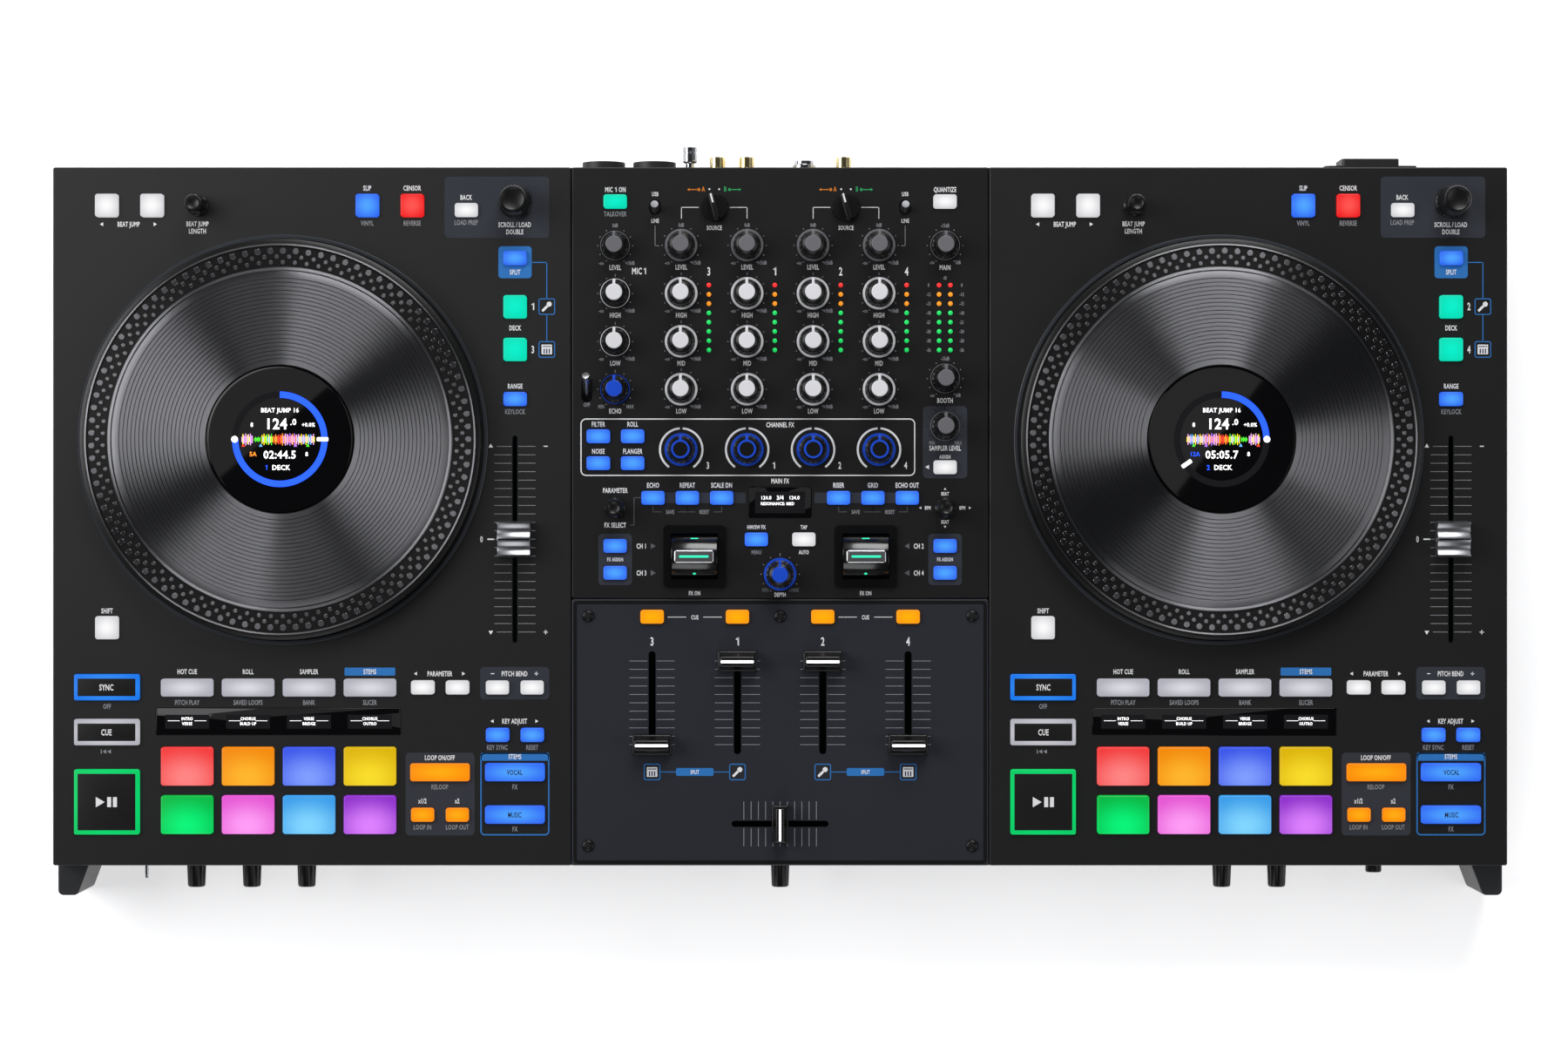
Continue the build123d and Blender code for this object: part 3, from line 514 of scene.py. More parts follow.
# %% [markdown]
# ## Print, patches and lettering
# Everything printed on the panels goes into one mesh per ink, a few hundredths of a millimetre thick. Tinted
# patches group related keys. Lettering is made from text curves, narrowed like the lettering on studio gear,
# and turned into mesh before it is placed. Only plain function words and numbers are printed.

# %% Inks and lettering
ink_low, ink_high = face - 0.03, face + 0.04
patch_high = face + 0.06
over_patch = patch_high + 0.04
squeeze = 0.63              # how narrow the lettering is, as a share of its own width
spacing = 1.07              # room between letters
stroke = 0.034              # how much each stroke is thickened, as a share of the height
capital_share = 0.7         # a capital's height as a share of the text size
inks = {name: bmesh.new() for name in ("white", "grey", "dim", "blue", "navy", "orange", "green")}


def numeral_one(x, y, height, low, high):
    """A single figure one: an upright with a flag."""
    bm = slab(x + 0.1 * height, y, 0.17 * height, height, low, high)
    flag = slab(0, 0, 0.15 * height, 0.36 * height, low, high)
    return stamp(bm, placed(flag, x - 0.03 * height, y + 0.33 * height, turn=-50))


def lettering(text, x, y, height, low, high, narrow=squeeze):
    """One line of text as a thin solid, with its capitals height tall and centred on y."""
    if text == "1":
        return numeral_one(x, y, height, low, high)
    curve = bpy.data.curves.new("text", "FONT")
    curve.body = text
    curve.align_x = "CENTER"
    curve.align_y = "TOP_BASELINE"
    curve.size = height / capital_share
    curve.space_character = spacing
    curve.resolution_u = 2
    curve.offset = stroke * height
    curve.extrude = (high - low) / 2
    holder = bpy.data.objects.new("text", curve)
    bpy.context.scene.collection.objects.link(holder)
    bpy.context.view_layer.update()
    mesh = bpy.data.meshes.new_from_object(holder.evaluated_get(bpy.context.evaluated_depsgraph_get()))
    bpy.data.objects.remove(holder)
    bpy.data.curves.remove(curve)
    bm = bmesh.new()
    bm.from_mesh(mesh)
    bpy.data.meshes.remove(mesh)
    bmesh.ops.scale(bm, vec=(narrow, 1, 1), verts=bm.verts)
    bmesh.ops.translate(bm, vec=(x, y - height / 2, (low + high) / 2), verts=bm.verts)
    return bm


def write(ink, text, x, y, height=2.6, high=None):
    """Print a line of text in one ink, with y counted from the body's middle."""
    top_of_ink = high or ink_high
    stamp(inks[ink], lettering(text, x, body_y + y, height, top_of_ink - 0.07, top_of_ink))


def rule(ink, x, y, width, depth, high=None):
    """Print a plain bar."""
    stamp(inks[ink], slab(x, body_y + y, width, depth, ink_low, high or ink_high))


def point(ink, x, y, size, angle, high=None):
    """Print a small arrow."""
    stamp(inks[ink], arrow(x, body_y + y, size, angle, ink_low, high or ink_high))


def bracket(ink, points, line=0.35):
    """Print a line that runs along straight stretches between points."""
    for (x0, y0), (x1, y1) in zip(points, points[1:]):
        rule(ink, (x0 + x1) / 2, (y0 + y1) / 2, abs(x1 - x0) + line, abs(y1 - y0) + line)


# %% Where a deck's keys are
right_column, transport_column, bend_column, loop_column = 109.4, -110.5, 109.3, 69.0
pad_middle, pad_pitch = -18.1, 32.83
pad_columns = [pad_middle + (i - 1.5) * pad_pitch for i in range(4)]
pad_rows, pad_size = (-134.7, -160.8), (27.9, 20.7)
flat_key, wide_key, square_key = (12.4, 7.5), (32.0, 9.6), (12.4, 12.4)
pair = 18.7 / 2
deck_keys = [
    ("white", -110.6, 167.6, square_key), ("white", -86.2, 167.6, square_key),
    ("blue", 29.8, 167.6, square_key), ("red", 54.0, 167.6, square_key),
    ("white", 83.2, 165.1, flat_key), ("blue", right_column, 139.2, flat_key),
    ("green", right_column, 113.0, square_key), ("green", right_column, 90.0, square_key),
    ("blue", right_column, 63.3, flat_key), ("white", transport_column, -60.0, square_key),
    *[("mode", x, -92.3, (27.9, 9.5)) for x in pad_columns],
    *[("white", loop_column + s * pair, -92.2, flat_key) for s in (-1, 1)],
    *[("white", bend_column + s * pair, -92.2, flat_key) for s in (-1, 1)],
    *[("blue", bend_column + s * pair, -117.8, flat_key) for s in (-1, 1)],
    ("orange", loop_column, -137.9, wide_key),
    *[("orange", loop_column + s * pair, -160.8, flat_key) for s in (-1, 1)],
    ("blue", bend_column, -137.9, wide_key), ("blue", bend_column, -160.8, wide_key),
]
framed_keys = [
    ("sync", transport_column, -92.1, (35.0, 14.0)), ("cue", transport_column, -116.3, (35.0, 14.0)),
    ("play", transport_column, -153.9, (35.0, 35.0)),
]
mode_words = (("HOT CUE", "PITCH PLAY"), ("ROLL", "SAVED LOOPS"), ("SAMPLER", "BANK"), ("STEMS", "SLICER"))
print(len(deck_keys) + len(framed_keys), "keys on each deck")

# %% Words and signs of a deck
tinted_patches = ((99.6, 166.7, 56.4, 33.0), (109.2, -89.9, 37.2, 17.5), (69.0, -149.7, 37.2, 44.6))
blue_bars = ((109.4, 137.0, 17.9, 17.2, 1.8), (pad_columns[3], -83.7, 27.3, 4.3, 0.6),
             (109.3, -129.6, 36.6, 4.3, 0.8))
panel_words = [
    ("white", "BEAT JUMP", -98.9, 157.5), ("white", "BEAT JUMP", -61.8, 157.7),
    ("white", "LENGTH", -61.8, 153.8), ("white", "SLIP", 29.7, 177.0), ("grey", "VINYL", 29.7, 158.1),
    ("white", "CENSOR", 53.9, 177.0),
    ("grey", "REVERSE", 53.9, 158.1), ("white", "DECK", 109.4, 101.6), ("white", "RANGE", 109.4, 70.2),
    ("grey", "KEYLOCK", 109.4, 56.5), ("white", "SHIFT", -110.5, -50.9), ("grey", "OFF", -110.5, -102.4),
    ("white", "PARAMETER", 68.8, -84.8), ("white", "KEY ADJUST", 109.1, -110.4),
    ("grey", "KEY SYNC", 99.8, -124.5), ("grey", "RESET", 118.6, -124.5), ("grey", "FX", 109.3, -145.8),
    ("grey", "FX", 109.3, -168.5),
]
patch_words = [
    ("white", "BACK", 83.0, 172.0), ("grey", "LOAD PREP", 83.0, 158.5),
    ("white", "SCROLL / LOAD", 109.2, 157.3),
    ("white", "DOUBLE", 109.2, 153.4), ("white", "SPLIT", 109.4, 131.7), ("white", "PITCH BEND", 109.1, -84.8),
    ("white", "LOOP ON/OFF", 68.8, -130.1), ("grey", "RELOOP", 68.8, -145.8), ("white", "x1/2", 59.5, -153.4),
    ("white", "x2", 78.2, -153.4), ("grey", "LOOP IN", 59.5, -167.5), ("grey", "LOOP OUT", 78.2, -167.5),
    ("white", "STEMS", 109.3, -129.5),
]
deck_arrows = [
    ("white", -113.2, 157.5, 1.2, 180), ("white", -84.8, 157.5, 1.2, 0), ("white", 96.3, 37.8, 1.4, 90),
    ("white", 96.3, -62.4, 1.4, 270), ("grey", -111.6, -126.8, 1.3, 180), ("grey", -109.1, -126.8, 1.3, 180),
    ("white", 56.0, -84.8, 1.1, 180), ("white", 81.4, -84.8, 1.1, 0), ("white", 97.3, -110.4, 1.1, 180),
    ("white", 120.9, -110.4, 1.1, 0),
]
panel_rules = [
    ("blue", 126.5, 101.5, 0.5, 14.4), ("white", 125.9, 37.8, 2.2, 0.5), ("white", 125.9, -62.4, 2.2, 0.5),
    ("white", 125.9, -62.4, 0.5, 2.2), ("white", 96.3, -12.3, 3.6, 0.8), ("grey", -113.6, -126.8, 0.5, 2.2),
]
patch_rules = [
    ("white", 97.3, -84.8, 1.9, 0.45), ("white", 120.9, -84.8, 1.9, 0.45), ("white", 120.9, -84.8, 0.45, 1.9),
]
print(len(panel_words) + len(patch_words), "words on each deck")

# %% Print of one deck
patches = bmesh.new()
blue_patches = bmesh.new()


def icon_box(x, y, keyboard):
    """A small outlined square with a microphone or a keyboard in it."""
    stamp(inks["blue"], outline(x, body_y + y, 8.9, 8.9, 1.2, 0.5, ink_low, ink_high))
    if keyboard:
        rule("white", x, y, 5.6, 5.2)
        for i in range(3):
            rule("navy", x - 1.4 + 1.4 * i, y - 0.9, 0.7, 2.6, ink_high + 0.03)
        rule("navy", x, y + 1.6, 4.6, 0.5, ink_high + 0.03)
    else:
        stem = slab(0, 0, 1.3, 4.2, ink_low, ink_high, 0.5)
        stamp(inks["white"], disc(x + 1.3, body_y + y + 1.3, 1.35, ink_low, ink_high))
        stamp(inks["white"], placed(stem, x - 1.0, body_y + y - 1.0, turn=-45))


def pitch_scale(x0):
    """The marks on both sides of the pitch fader's slot, with the first and the last one shorter."""
    marks, span, slot_x, slot_half, left, right = 23, 100.1, 109.3, 1.8, 98.2, 120.4
    for i in range(marks):
        y = -12.3 + span * (0.5 - i / (marks - 1))
        shorter = 1.4 if i in (0, marks - 1) else 0.0
        for start, end in ((left + shorter, slot_x - slot_half), (slot_x + slot_half, right)):
            rule("grey", x0 + (start + end) / 2, y, end - start, 0.3)
    write("white", "0", x0 + 91.3, -12.3, 3.2)


def print_deck(x0, numbers):
    """Patches, words, arrows and scales of one deck."""
    for x, y, width, depth in tinted_patches:
        stamp(patches, slab(x0 + x, body_y + y, width, depth, ink_low, ink_high, 2.2))
    for x, y, width, depth, corner in blue_bars:
        stamp(blue_patches, slab(x0 + x, body_y + y, width, depth, ink_low, ink_high, corner))
    stamp(blue_patches, outline(x0 + 109.3, body_y - 149.7, 37.2, 44.6, 2.4, 0.7, ink_low, ink_high))
    for words, high in ((panel_words, ink_high), (patch_words, over_patch)):
        for ink, text, x, y in words:
            write(ink, text, x0 + x, y, high=high)
    for rules, high in ((panel_rules, ink_high), (patch_rules, over_patch)):
        for ink, x, y, width, depth in rules:
            rule(ink, x0 + x, y, width, depth, high)
    for ink, x, y, size, angle in deck_arrows:
        point(ink, x0 + x, y, size, angle)
    for column, (upper, lower) in zip(pad_columns, mode_words):
        write("white", upper, x0 + column, -83.7, high=over_patch if upper == "STEMS" else None)
        write("grey", lower, x0 + column, -100.3)
    bracket("blue", [(x0 + 118.3, 136.9), (x0 + 126.5, 136.9), (x0 + 126.5, 117.6)], 0.5)
    for number, y, icon_y, keyboard in zip(numbers, (113.2, 90.0), (113.1, 90.0), (False, True)):
        write("white", number, x0 + 119.0, y, 3.9)
        icon_box(x0 + 126.5, icon_y, keyboard)
    pitch_scale(x0)


print_deck(deck_x["left"], "13")
print_deck(deck_x["right"], "24")
print({name: len(bm.faces) for name, bm in inks.items()}, "faces of print so far")

# %% [markdown]
# ## Print of the mixer
# The mixer's panel carries the most print: dots and words round every knob, numbers beside the meters, lines
# that join a source to its channels. It could be drawn as one picture and projected, but then it would blur
# close up. Small functions, one for each group of controls, print it as real thin shapes in the same inks as
# the decks.

# %% Where the mixer's controls are
channel_x = {ch: middle(f"channel_{ch}_high_knob").x for ch in (1, 2, 3, 4)}
row_y = {row: middle(f"channel_1_{row}_knob").y - body_y for row in ("level", "high", "mid", "low", "fx")}
fader_x = {ch: middle(f"channel_{ch}_fader").x for ch in (1, 2, 3, 4)}
side_x = 88.9
mic_rows = {"level": 145.9, "high": 120.2, "low": 94.3, "echo": 68.5}
mixer_key = (12.5, 7.4)
mixer_keys = [
    ("green", -side_x, 169.8, mixer_key), ("white", side_x, 169.8, mixer_key),
    *[("blue", x, y, mixer_key) for y in (43.2, 28.7) for x in (-98.0, -79.5)],
    *[("blue", s * x, 10.0, mixer_key) for x in (31.5, 50.0, 68.5) for s in (-1, 1)],
    ("white", side_x, 26.5, mixer_key),
    *[("blue", s * side_x, y, mixer_key) for y in (-15.9, -30.4) for s in (-1, 1)],
    ("blue", -12.8, -12.4, mixer_key), ("white", 12.8, -12.4, mixer_key),
    *[("amber", x, -54.1, mixer_key) for x in fader_x.values()],
]
led_columns = [x + 14.9 for x in sorted(channel_x.values())] + [85.7, 91.8]
led_rows = [124.7 - 5.0 * i for i in range(8)]
print(len(mixer_keys), "mixer keys,", len(led_columns) * len(led_rows), "meter lenses")


# %% Print around a knob
dot_count, dot_sweep, dot_size = 11, 150.0, 0.32
word_drop = 11.7            # from a knob's middle down to its name
to_ten, to_fifteen, least_most = ("-oo", "+10dB"), ("-oo", "+15dB"), ("MIN", "MAX")


def dots_around(x, y, radius, long_top=True):
    """The dots that a knob's pointer passes, with a short bar at the top."""
    for i in range(dot_count):
        angle = math.radians(90 - dot_sweep + 2 * dot_sweep * i / (dot_count - 1))
        if i != dot_count // 2:
            dx, dy = radius * math.cos(angle), radius * math.sin(angle)
            stamp(inks["grey"], disc(x + dx, body_y + y + dy, dot_size, ink_low, ink_high, segments=8))
        elif long_top:
            rule("grey", x, y + radius + 0.3, 0.4, 1.5)


def ends(x, y, low_word, high_word):
    """The small words at both ends of a knob's travel."""
    write("grey", low_word, x - 7.5, y - 9.3, 2.0)
    write("grey", high_word, x + 8.0, y - 9.3, 2.0)


# %% Print of the channel strips
def print_channel(ch, x):
    """Dots, words and numbers of one channel, and the bright arcs round its effect knob."""
    for row, words in (("level", to_fifteen), ("high", to_ten), ("mid", to_ten), ("low", to_ten)):
        y = row_y[row]
        dots_around(x, y, 10.3, long_top=row != "level")
        ends(x, y, *words)
        write("white", row.upper(), x, y - word_drop)
    write("grey", "0dB", x, row_y["level"] + 11.0, 2.0)
    write("white", str(ch), x + 14.9, 132.1, 4.3)
    write("white", str(ch), x + 14.4, 27.5, 3.6)
    for start, end in ((94, 235), (-55, 86)):
        stamp(inks["white"], arc_band(x, body_y + row_y["fx"], 10.9, 12.0, start, end, ink_low, ink_high))


for ch, x in channel_x.items():
    print_channel(ch, x)
print("dots and words for channels", list(channel_x))


# %% Print of the microphone column
def print_microphone():
    """Dots and words down the left edge of the mixer."""
    for row, y in mic_rows.items():
        dots_around(-side_x, y, 9.4, long_top=row != "level")
        write("white", row.upper(), -side_x, y - word_drop)
        ends(-side_x, y, *(least_most if row == "echo" else to_ten))
    write("grey", "0dB", -side_x, 156.9, 2.0)
    write("white", "MIC", -77.2, 132.3, 3.4)
    write("white", "1", -72.9, 132.3, 3.4)
    for word, dx in (("MIC", -3.4), ("1", 0.3), ("ON", 3.8)):
        write("white", word, dx - side_x, 176.2)
    write("grey", "TALKOVER", -side_x, 163.1)
    write("grey", "OFF", -104.2, 60.2, 2.1)


print_microphone()
print(len(inks["grey"].faces), "grey faces with the microphone column")


# %% Print of the sources
toggle_x, source_x = 67.4, 35.5


def print_source(s):
    """Words, branch lines and connector signs of one source selector and its line toggle."""
    write("white", "USB", s * toggle_x, 173.8, 2.2)
    write("white", "LINE", s * toggle_x, 159.4, 2.2)
    bracket("grey", [(s * toggle_x, 156.5), (s * toggle_x, 145.9), (s * (toggle_x - 2.0), 145.9)])
    middle_x = s * source_x
    write("white", "SOURCE", middle_x, 155.6, 2.3)
    for way, letter, ink in ((-1, "A", "orange"), (1, "B", "green")):
        branch = [(middle_x + way * 17.7, 160.7), (middle_x + way * 17.7, 166.6), (middle_x + way * 8.6, 166.6)]
        bracket("white", branch, 0.4)
        stamp(inks["white"], disc(middle_x + way * 2.6, body_y + 176.4, 0.5, ink_low, ink_high, segments=12))
        write(ink, letter, middle_x + way * 5.9, 176.5)
        sign_x = middle_x + way * 10.9
        rule(ink, sign_x, 176.2, 4.6, 0.45)
        point(ink, sign_x + way * 2.8, 176.2, 0.9, 90 - 90 * way)
        stamp(inks[ink], disc(sign_x - way * 2.6, body_y + 176.2, 0.8, ink_low, ink_high))


print_source(-1)
print_source(1)
print(len(inks["orange"].faces), "orange faces,", len(inks["green"].faces), "green faces")


# %% Print of the output levels
def print_levels():
    """Words of the main, booth and sampler knobs, and the numbers of the main meter."""
    for y, top_word, words, label in (
        (146.0, "-15dB", ("-oo", "0dB"), "MAIN"), (74.3, "-15dB", ("-oo", "0dB"), "BOOTH"),
        (48.6, None, least_most, "SAMPLER LEVEL"),
    ):
        dots_around(side_x, y, 9.6, long_top=top_word is None)
        write("white", label, side_x, y - 11.8, high=over_patch)
        for word, dx in zip(words, (-7.0, 7.0)):
            write("grey", word, side_x + dx, y - 9.0, 1.9, over_patch)
        if top_word:
            write("grey", top_word, side_x, y + 10.8, 2.0)
    write("grey", "dB", side_x, 128.6, 1.9)
    for value, y in zip((0, -12, -15, -18, -21, -24, -30, -36), led_rows):
        for x in (80.0, 97.9):
            write("grey", str(value), x, y, 1.9)
    stamp(patches, slab(side_x, body_y + 40.0, 23.9, 38.9, ink_low, ink_high, 2.4))
    write("white", "QUANTIZE", side_x, 176.2)
    write("white", "ASSIGN", side_x, 32.1, 1.9, over_patch)
    point("white", 79.6, 26.6, 1.4, 180, over_patch)


print_levels()
print(len(inks["grey"].faces), "grey faces with the output levels")

# %% Print of the effect keys
fx_words = [
    ("FILTER", -98.0, 49.7), ("ROLL", -79.5, 49.7), ("NOISE", -98.0, 35.1), ("FLANGER", -79.5, 35.1),
    ("CHANNEL FX", 0.0, 49.4), ("MAIN FX", 0.0, 19.1), ("ECHO", -68.5, 16.8), ("REPEAT", -50.0, 16.8),
    ("SCALE DN", -31.5, 16.8), ("RISER", 31.5, 16.8), ("GRID", 50.0, 16.8), ("ECHO OUT", 68.5, 16.8),
    ("PARAMETER", -side_x, 14.0), ("FX SELECT", -side_x, -4.7),
]
small_fx_words = [
    ("white", "HW/SW FX", -12.8, -5.8), ("grey", "MENU", -12.8, -19.3), ("white", "TAP", 12.8, -5.8),
    ("white", "AUTO", 12.8, -19.3), ("white", "DEPTH", 0.0, -42.2), ("dim", "MIN", -8.0, -39.7),
    ("dim", "MAX", 8.0, -39.7),
]


def print_effect_side(s):
    """Patches, words and arrows beside one effect paddle."""
    stamp(patches, slab(s * 45.6, body_y + 10.0, 54.0, 5.7, ink_low, ink_high))
    stamp(patches, slab(s * side_x, body_y - 23.2, 18.1, 27.7, ink_low, ink_high, 2.2))
    write("white", "FX ASSIGN", s * side_x, -23.2, 1.9, over_patch)
    write("grey", "SAVE", s * 50.0 - 9.3, 2.4, 2.1)
    write("grey", "RESET", s * 50.0 + 9.1, 2.4, 2.1)
    for start, end in ((-18.5, -14.2), (0.0, -4.6), (0.0, 3.9), (18.5, 14.3)):
        bracket("dim", [(s * 50.0 + start, 5.4), (s * 50.0 + start, 2.4), (s * 50.0 + end, 2.4)], 0.3)
    write("white", "FX ON", s * 46.1, -41.4, 2.2)
    for ch, y in zip((1, 3) if s < 0 else (2, 4), (-16.0, -30.5)):
        write("white", f"CH {ch}", s * 74.7, y)
        point("dim", s * 68.8, y, 1.8, 0 if s < 0 else 180)


def print_effects():
    """Words and lines of the effect keys, the encoders and the depth knob."""
    stamp(inks["white"], outline(-17.4, body_y + 37.3, 180.4, 31.0, 3.0, 0.6, ink_low, ink_high))
    for text, x, y in fx_words:
        write("white", text, x, y)
    for ink, text, x, y in small_fx_words:
        write(ink, text, x, y, 2.1)
    bracket("dim", [(-80.6, -4.7), (-78.7, -4.7), (-78.7, 10.1), (-75.0, 10.1)])
    for text, dx, dy, angle in (("BEAT", 0, 7.6, 90), ("BEAT", 0, -7.6, 270), ("BPM", -9.3, 0, 180),
                                ("BPM", 9.3, 0, 0)):
        write("white", text, side_x + dx, 4.6 + dy, 1.9)
        point("white", side_x + dx * 1.42, 4.6 + dy * 1.33, 0.8, angle)
    dots_around(0.0, -31.2, 10.3)
    print_effect_side(-1)
    print_effect_side(1)


print_effects()
print(len(inks["white"].faces), "white faces with the effect keys")

# %% Print of the fader plate
plate_low, plate_high = corners("fader_plate")
plate_middle, plate_size = (plate_low + plate_high) / 2, plate_high - plate_low
plate_inset, plate_band, plate_corner = 1.7, 1.9, 2.6
fader_band = outline(plate_middle.x, plate_middle.y, plate_size.x - plate_inset, plate_size.y - plate_inset,
                     plate_corner, plate_band, ink_low, ink_high)


def print_faders():
    """Scales, numbers and icons of the fader section."""
    marks, span, half, gap = 11, 45.1, 12.2, 2.5
    for ch, x in fader_x.items():
        write("white", str(ch), x, -67.4, 4.4)
        for i in range(marks):
            y = -100.5 + span * (0.5 - i / (marks - 1))
            for s in (-1, 1):
                rule("grey", x + s * (half + gap) / 2, y, half - gap, 0.3)
        icon_box(x, -137.8, ch in (3, 4))
    for s in (-1, 1):
        rule("blue", s * 46.0, -137.8, 37.0, 0.45)
        stamp(blue_patches, slab(s * 46.0, body_y - 137.8, 20.2, 4.2, ink_low, ink_high + 0.02, 0.8))
        write("white", "SPLIT", s * 46.0, -137.8, 2.1, ink_high + 0.07)
        write("white", "CUE", s * 46.0, -54.4, 2.2)
        for dx in (-9.6, 9.6):
            rule("white", s * 46.0 + dx, -54.3, 10.0, 0.35)
    for i in range(marks):
        x = 39.1 * (i / (marks - 1) - 0.5)
        for s in (-1, 1):
            rule("grey", x, -165.8 + s * 7.2, 0.35, 9.8)


print_faders()
print("fader plate", [round(v, 1) for v in plate_size], "mm")

# %% Make the printed pieces
piece("panel_patches", patches, tinted_paint)
piece("blue_patches", blue_patches, ink_blue)
piece("fader_plate_band", fader_band, mixer_paint)
for name, material in (("white", ink_white), ("grey", ink_grey), ("dim", ink_dim), ("blue", ink_blue),
                       ("navy", ink_navy), ("orange", ink_orange), ("green", ink_green)):
    piece(f"print_{name}", inks[name], material)
tally("print")

# %% [markdown]
# ## Keys and pads
# A key is a soft-edged block that stands just proud of the panel, in a hole with a hair of space round it.
# The ones of one colour become one mesh, and each block gets its own UV square for the light spot. Transport
# keys are different: a lit frame round a dark, printed top.

# %% Build the caps
key_top, pad_top = corners("deck_buttons")[1].z, corners("performance_pads")[1].z
key_low = face - 3.0


def cap_block(x, y, size, high, corner=1.4, edge=0.55):
    """One cap with a UV square that spans its plan."""
    bm = slab(x, y, *size, key_low, high, corner, edge)
    layer = bm.loops.layers.uv.new("cap")
    for f in bm.faces:
        for loop in f.loops:
            u = (loop.vert.co.x - x) / size[0] + 0.5
            v = (loop.vert.co.y - y) / size[1] + 0.5
            loop[layer].uv = (u, v)
    return bm


def caps(prefix, keys, body, node, high):
    """All caps of each colour as one piece, standing for the node."""
    for colour in dict.fromkeys(k[0] for k in keys):
        group = bmesh.new()
        for _, x, y, size in (k for k in keys if k[0] == colour):
            stamp(group, cap_block(x, body_y + y, size, high))
        made = piece(f"{prefix}_{colour}", group, key_light[colour], body)
        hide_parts(node)


both_decks = [(c, x0 + x, y, size) for x0 in deck_x.values() for c, x, y, size in deck_keys]
caps("deck_keys", both_decks, "deck_buttons", "deck_buttons", key_top)
caps("mixer_keys", mixer_keys, "mixer_buttons", "mixer_buttons", key_top)

for i, material in enumerate(pad_light):
    group = bmesh.new()
    for x0 in deck_x.values():
        x, y = x0 + pad_columns[i % 4], body_y + pad_rows[i // 4]
        stamp(group, cap_block(x, y, pad_size, pad_top, edge=0.8))
    made = piece(material.name, group, material, "performance_pads")
    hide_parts("performance_pads")
tally("keys and pads")

# %% Framed transport keys
frame_width, frame_depth, sign_height = 3.7, 4.4, 3.2
top_low, top_high = key_low, key_top + 0.1
print_high = key_top + 0.16
dark_tops, tops_print, stem_print = bmesh.new(), bmesh.new(), bmesh.new()
for x0 in deck_x.values():
    for name, x, y, (width, depth) in framed_keys:
        inner = (width - frame_width, depth - frame_depth)
        stamp(dark_tops, slab(x0 + x, body_y + y, *inner, top_low, top_high, 0.5, 0.25))
    sync_y, cue_y, play_y = (body_y + k[2] for k in framed_keys)
    x = x0 + transport_column
    stamp(tops_print, lettering("SYNC", x, sync_y, sign_height, print_high - 0.1, print_high))
    stamp(tops_print, lettering("CUE", x, cue_y, sign_height, print_high - 0.1, print_high))
    stamp(tops_print, arrow(x - 4.1, play_y, sign_height, 0, print_high - 0.1, print_high))
    for dx in (1.5, 4.6):
        stamp(tops_print, slab(x + dx, play_y, 2.1, 5.4, print_high - 0.1, print_high))
    for text, y in (("VOCAL", -137.9), ("MUSIC", -160.8)):
        stamp(stem_print, lettering(text, x0 + bend_column, body_y + y, 2.7, key_top - 0.05, key_top + 0.05))
for name, x, y, size in framed_keys:
    group = bmesh.new()
    for x0 in deck_x.values():
        stamp(group, cap_block(x0 + x, body_y + y, size, key_top, 0.9, 0.4))
    made = piece(f"frame_{name}", group, key_light[name], "deck_buttons")
    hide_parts("deck_buttons")
piece("transport_tops", dark_tops, deck_paint, "deck_buttons")
piece("transport_print", tops_print, ink_white, "deck_buttons")
piece("stem_key_print", stem_print, ink_navy, "deck_buttons")
tally("framed keys")

# %% [markdown]
# ## Windows and meters
# The strip above the pads and the effects display are black glass, and each of their small screens is a slate
# field with bright lettering. The level meters are rows of round lenses. Both are separate clear mouldings on
# the real panel, so the glass could be one sheet, but then the lenses would have no domes; here they stand
# for one node.

# %% Glass strips and displays
strip_words = (("INTRO", "VERSE"), ("CHORUS", "BUILD UP"), ("VERSE", "BRIDGE"), ("CHORUS", "OUTRO"))
strip_y, fx_window_y = -110.7, 7.5


def windows():
    """The dark glass, its slate fields and its lit words."""
    glass, slate, words = bmesh.new(), bmesh.new(), bmesh.new()
    for x0 in deck_x.values():
        y = body_y + strip_y
        stamp(glass, slab(x0 + pad_middle, y, 131.8, 14.8, face - 3.0, face - 0.05, 1.5, 0.2))
        for column, (upper, lower) in zip(pad_columns, strip_words):
            stamp(slate, slab(x0 + column, y, 23.7, 7.5, face - 0.1, face, 0.2))
            for text, dy in ((upper, 1.35), (lower, -1.35)):
                stamp(words, lettering(text, x0 + column, y + dy + 0.3, 1.6, face, face + 0.05, narrow=0.85))
            for s in (-1, 1):
                stamp(words, slab(x0 + column + s * 7.2, y + 0.5, 6.4, 0.25, face, face + 0.05))
    stamp(glass, slab(0, body_y + fx_window_y, 33.8, 16.8, face - 3.0, face - 0.3, 1.2, 0.2))
    stamp(slate, slab(0, body_y + fx_window_y, 27.0, 11.6, face - 0.4, face - 0.28, 0.2))
    for text, x, y, size in (("124.0", -7.6, 10.1, 1.9), ("3/4", 0.0, 10.1, 2.2), ("124.0", 7.6, 10.1, 1.9),
                             ("RESONANCE: MED", -1.4, 6.9, 1.6)):
        stamp(words, lettering(text, x, body_y + y, size, face - 0.28, face - 0.2, narrow=0.9))
    made = piece("window_glass", glass, window_glass)
    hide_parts("display_windows")
    piece("window_slate", slate, screen_slate)
    piece("window_words", words, screen_white_and_painted_glow)


windows()
tally("glass windows")

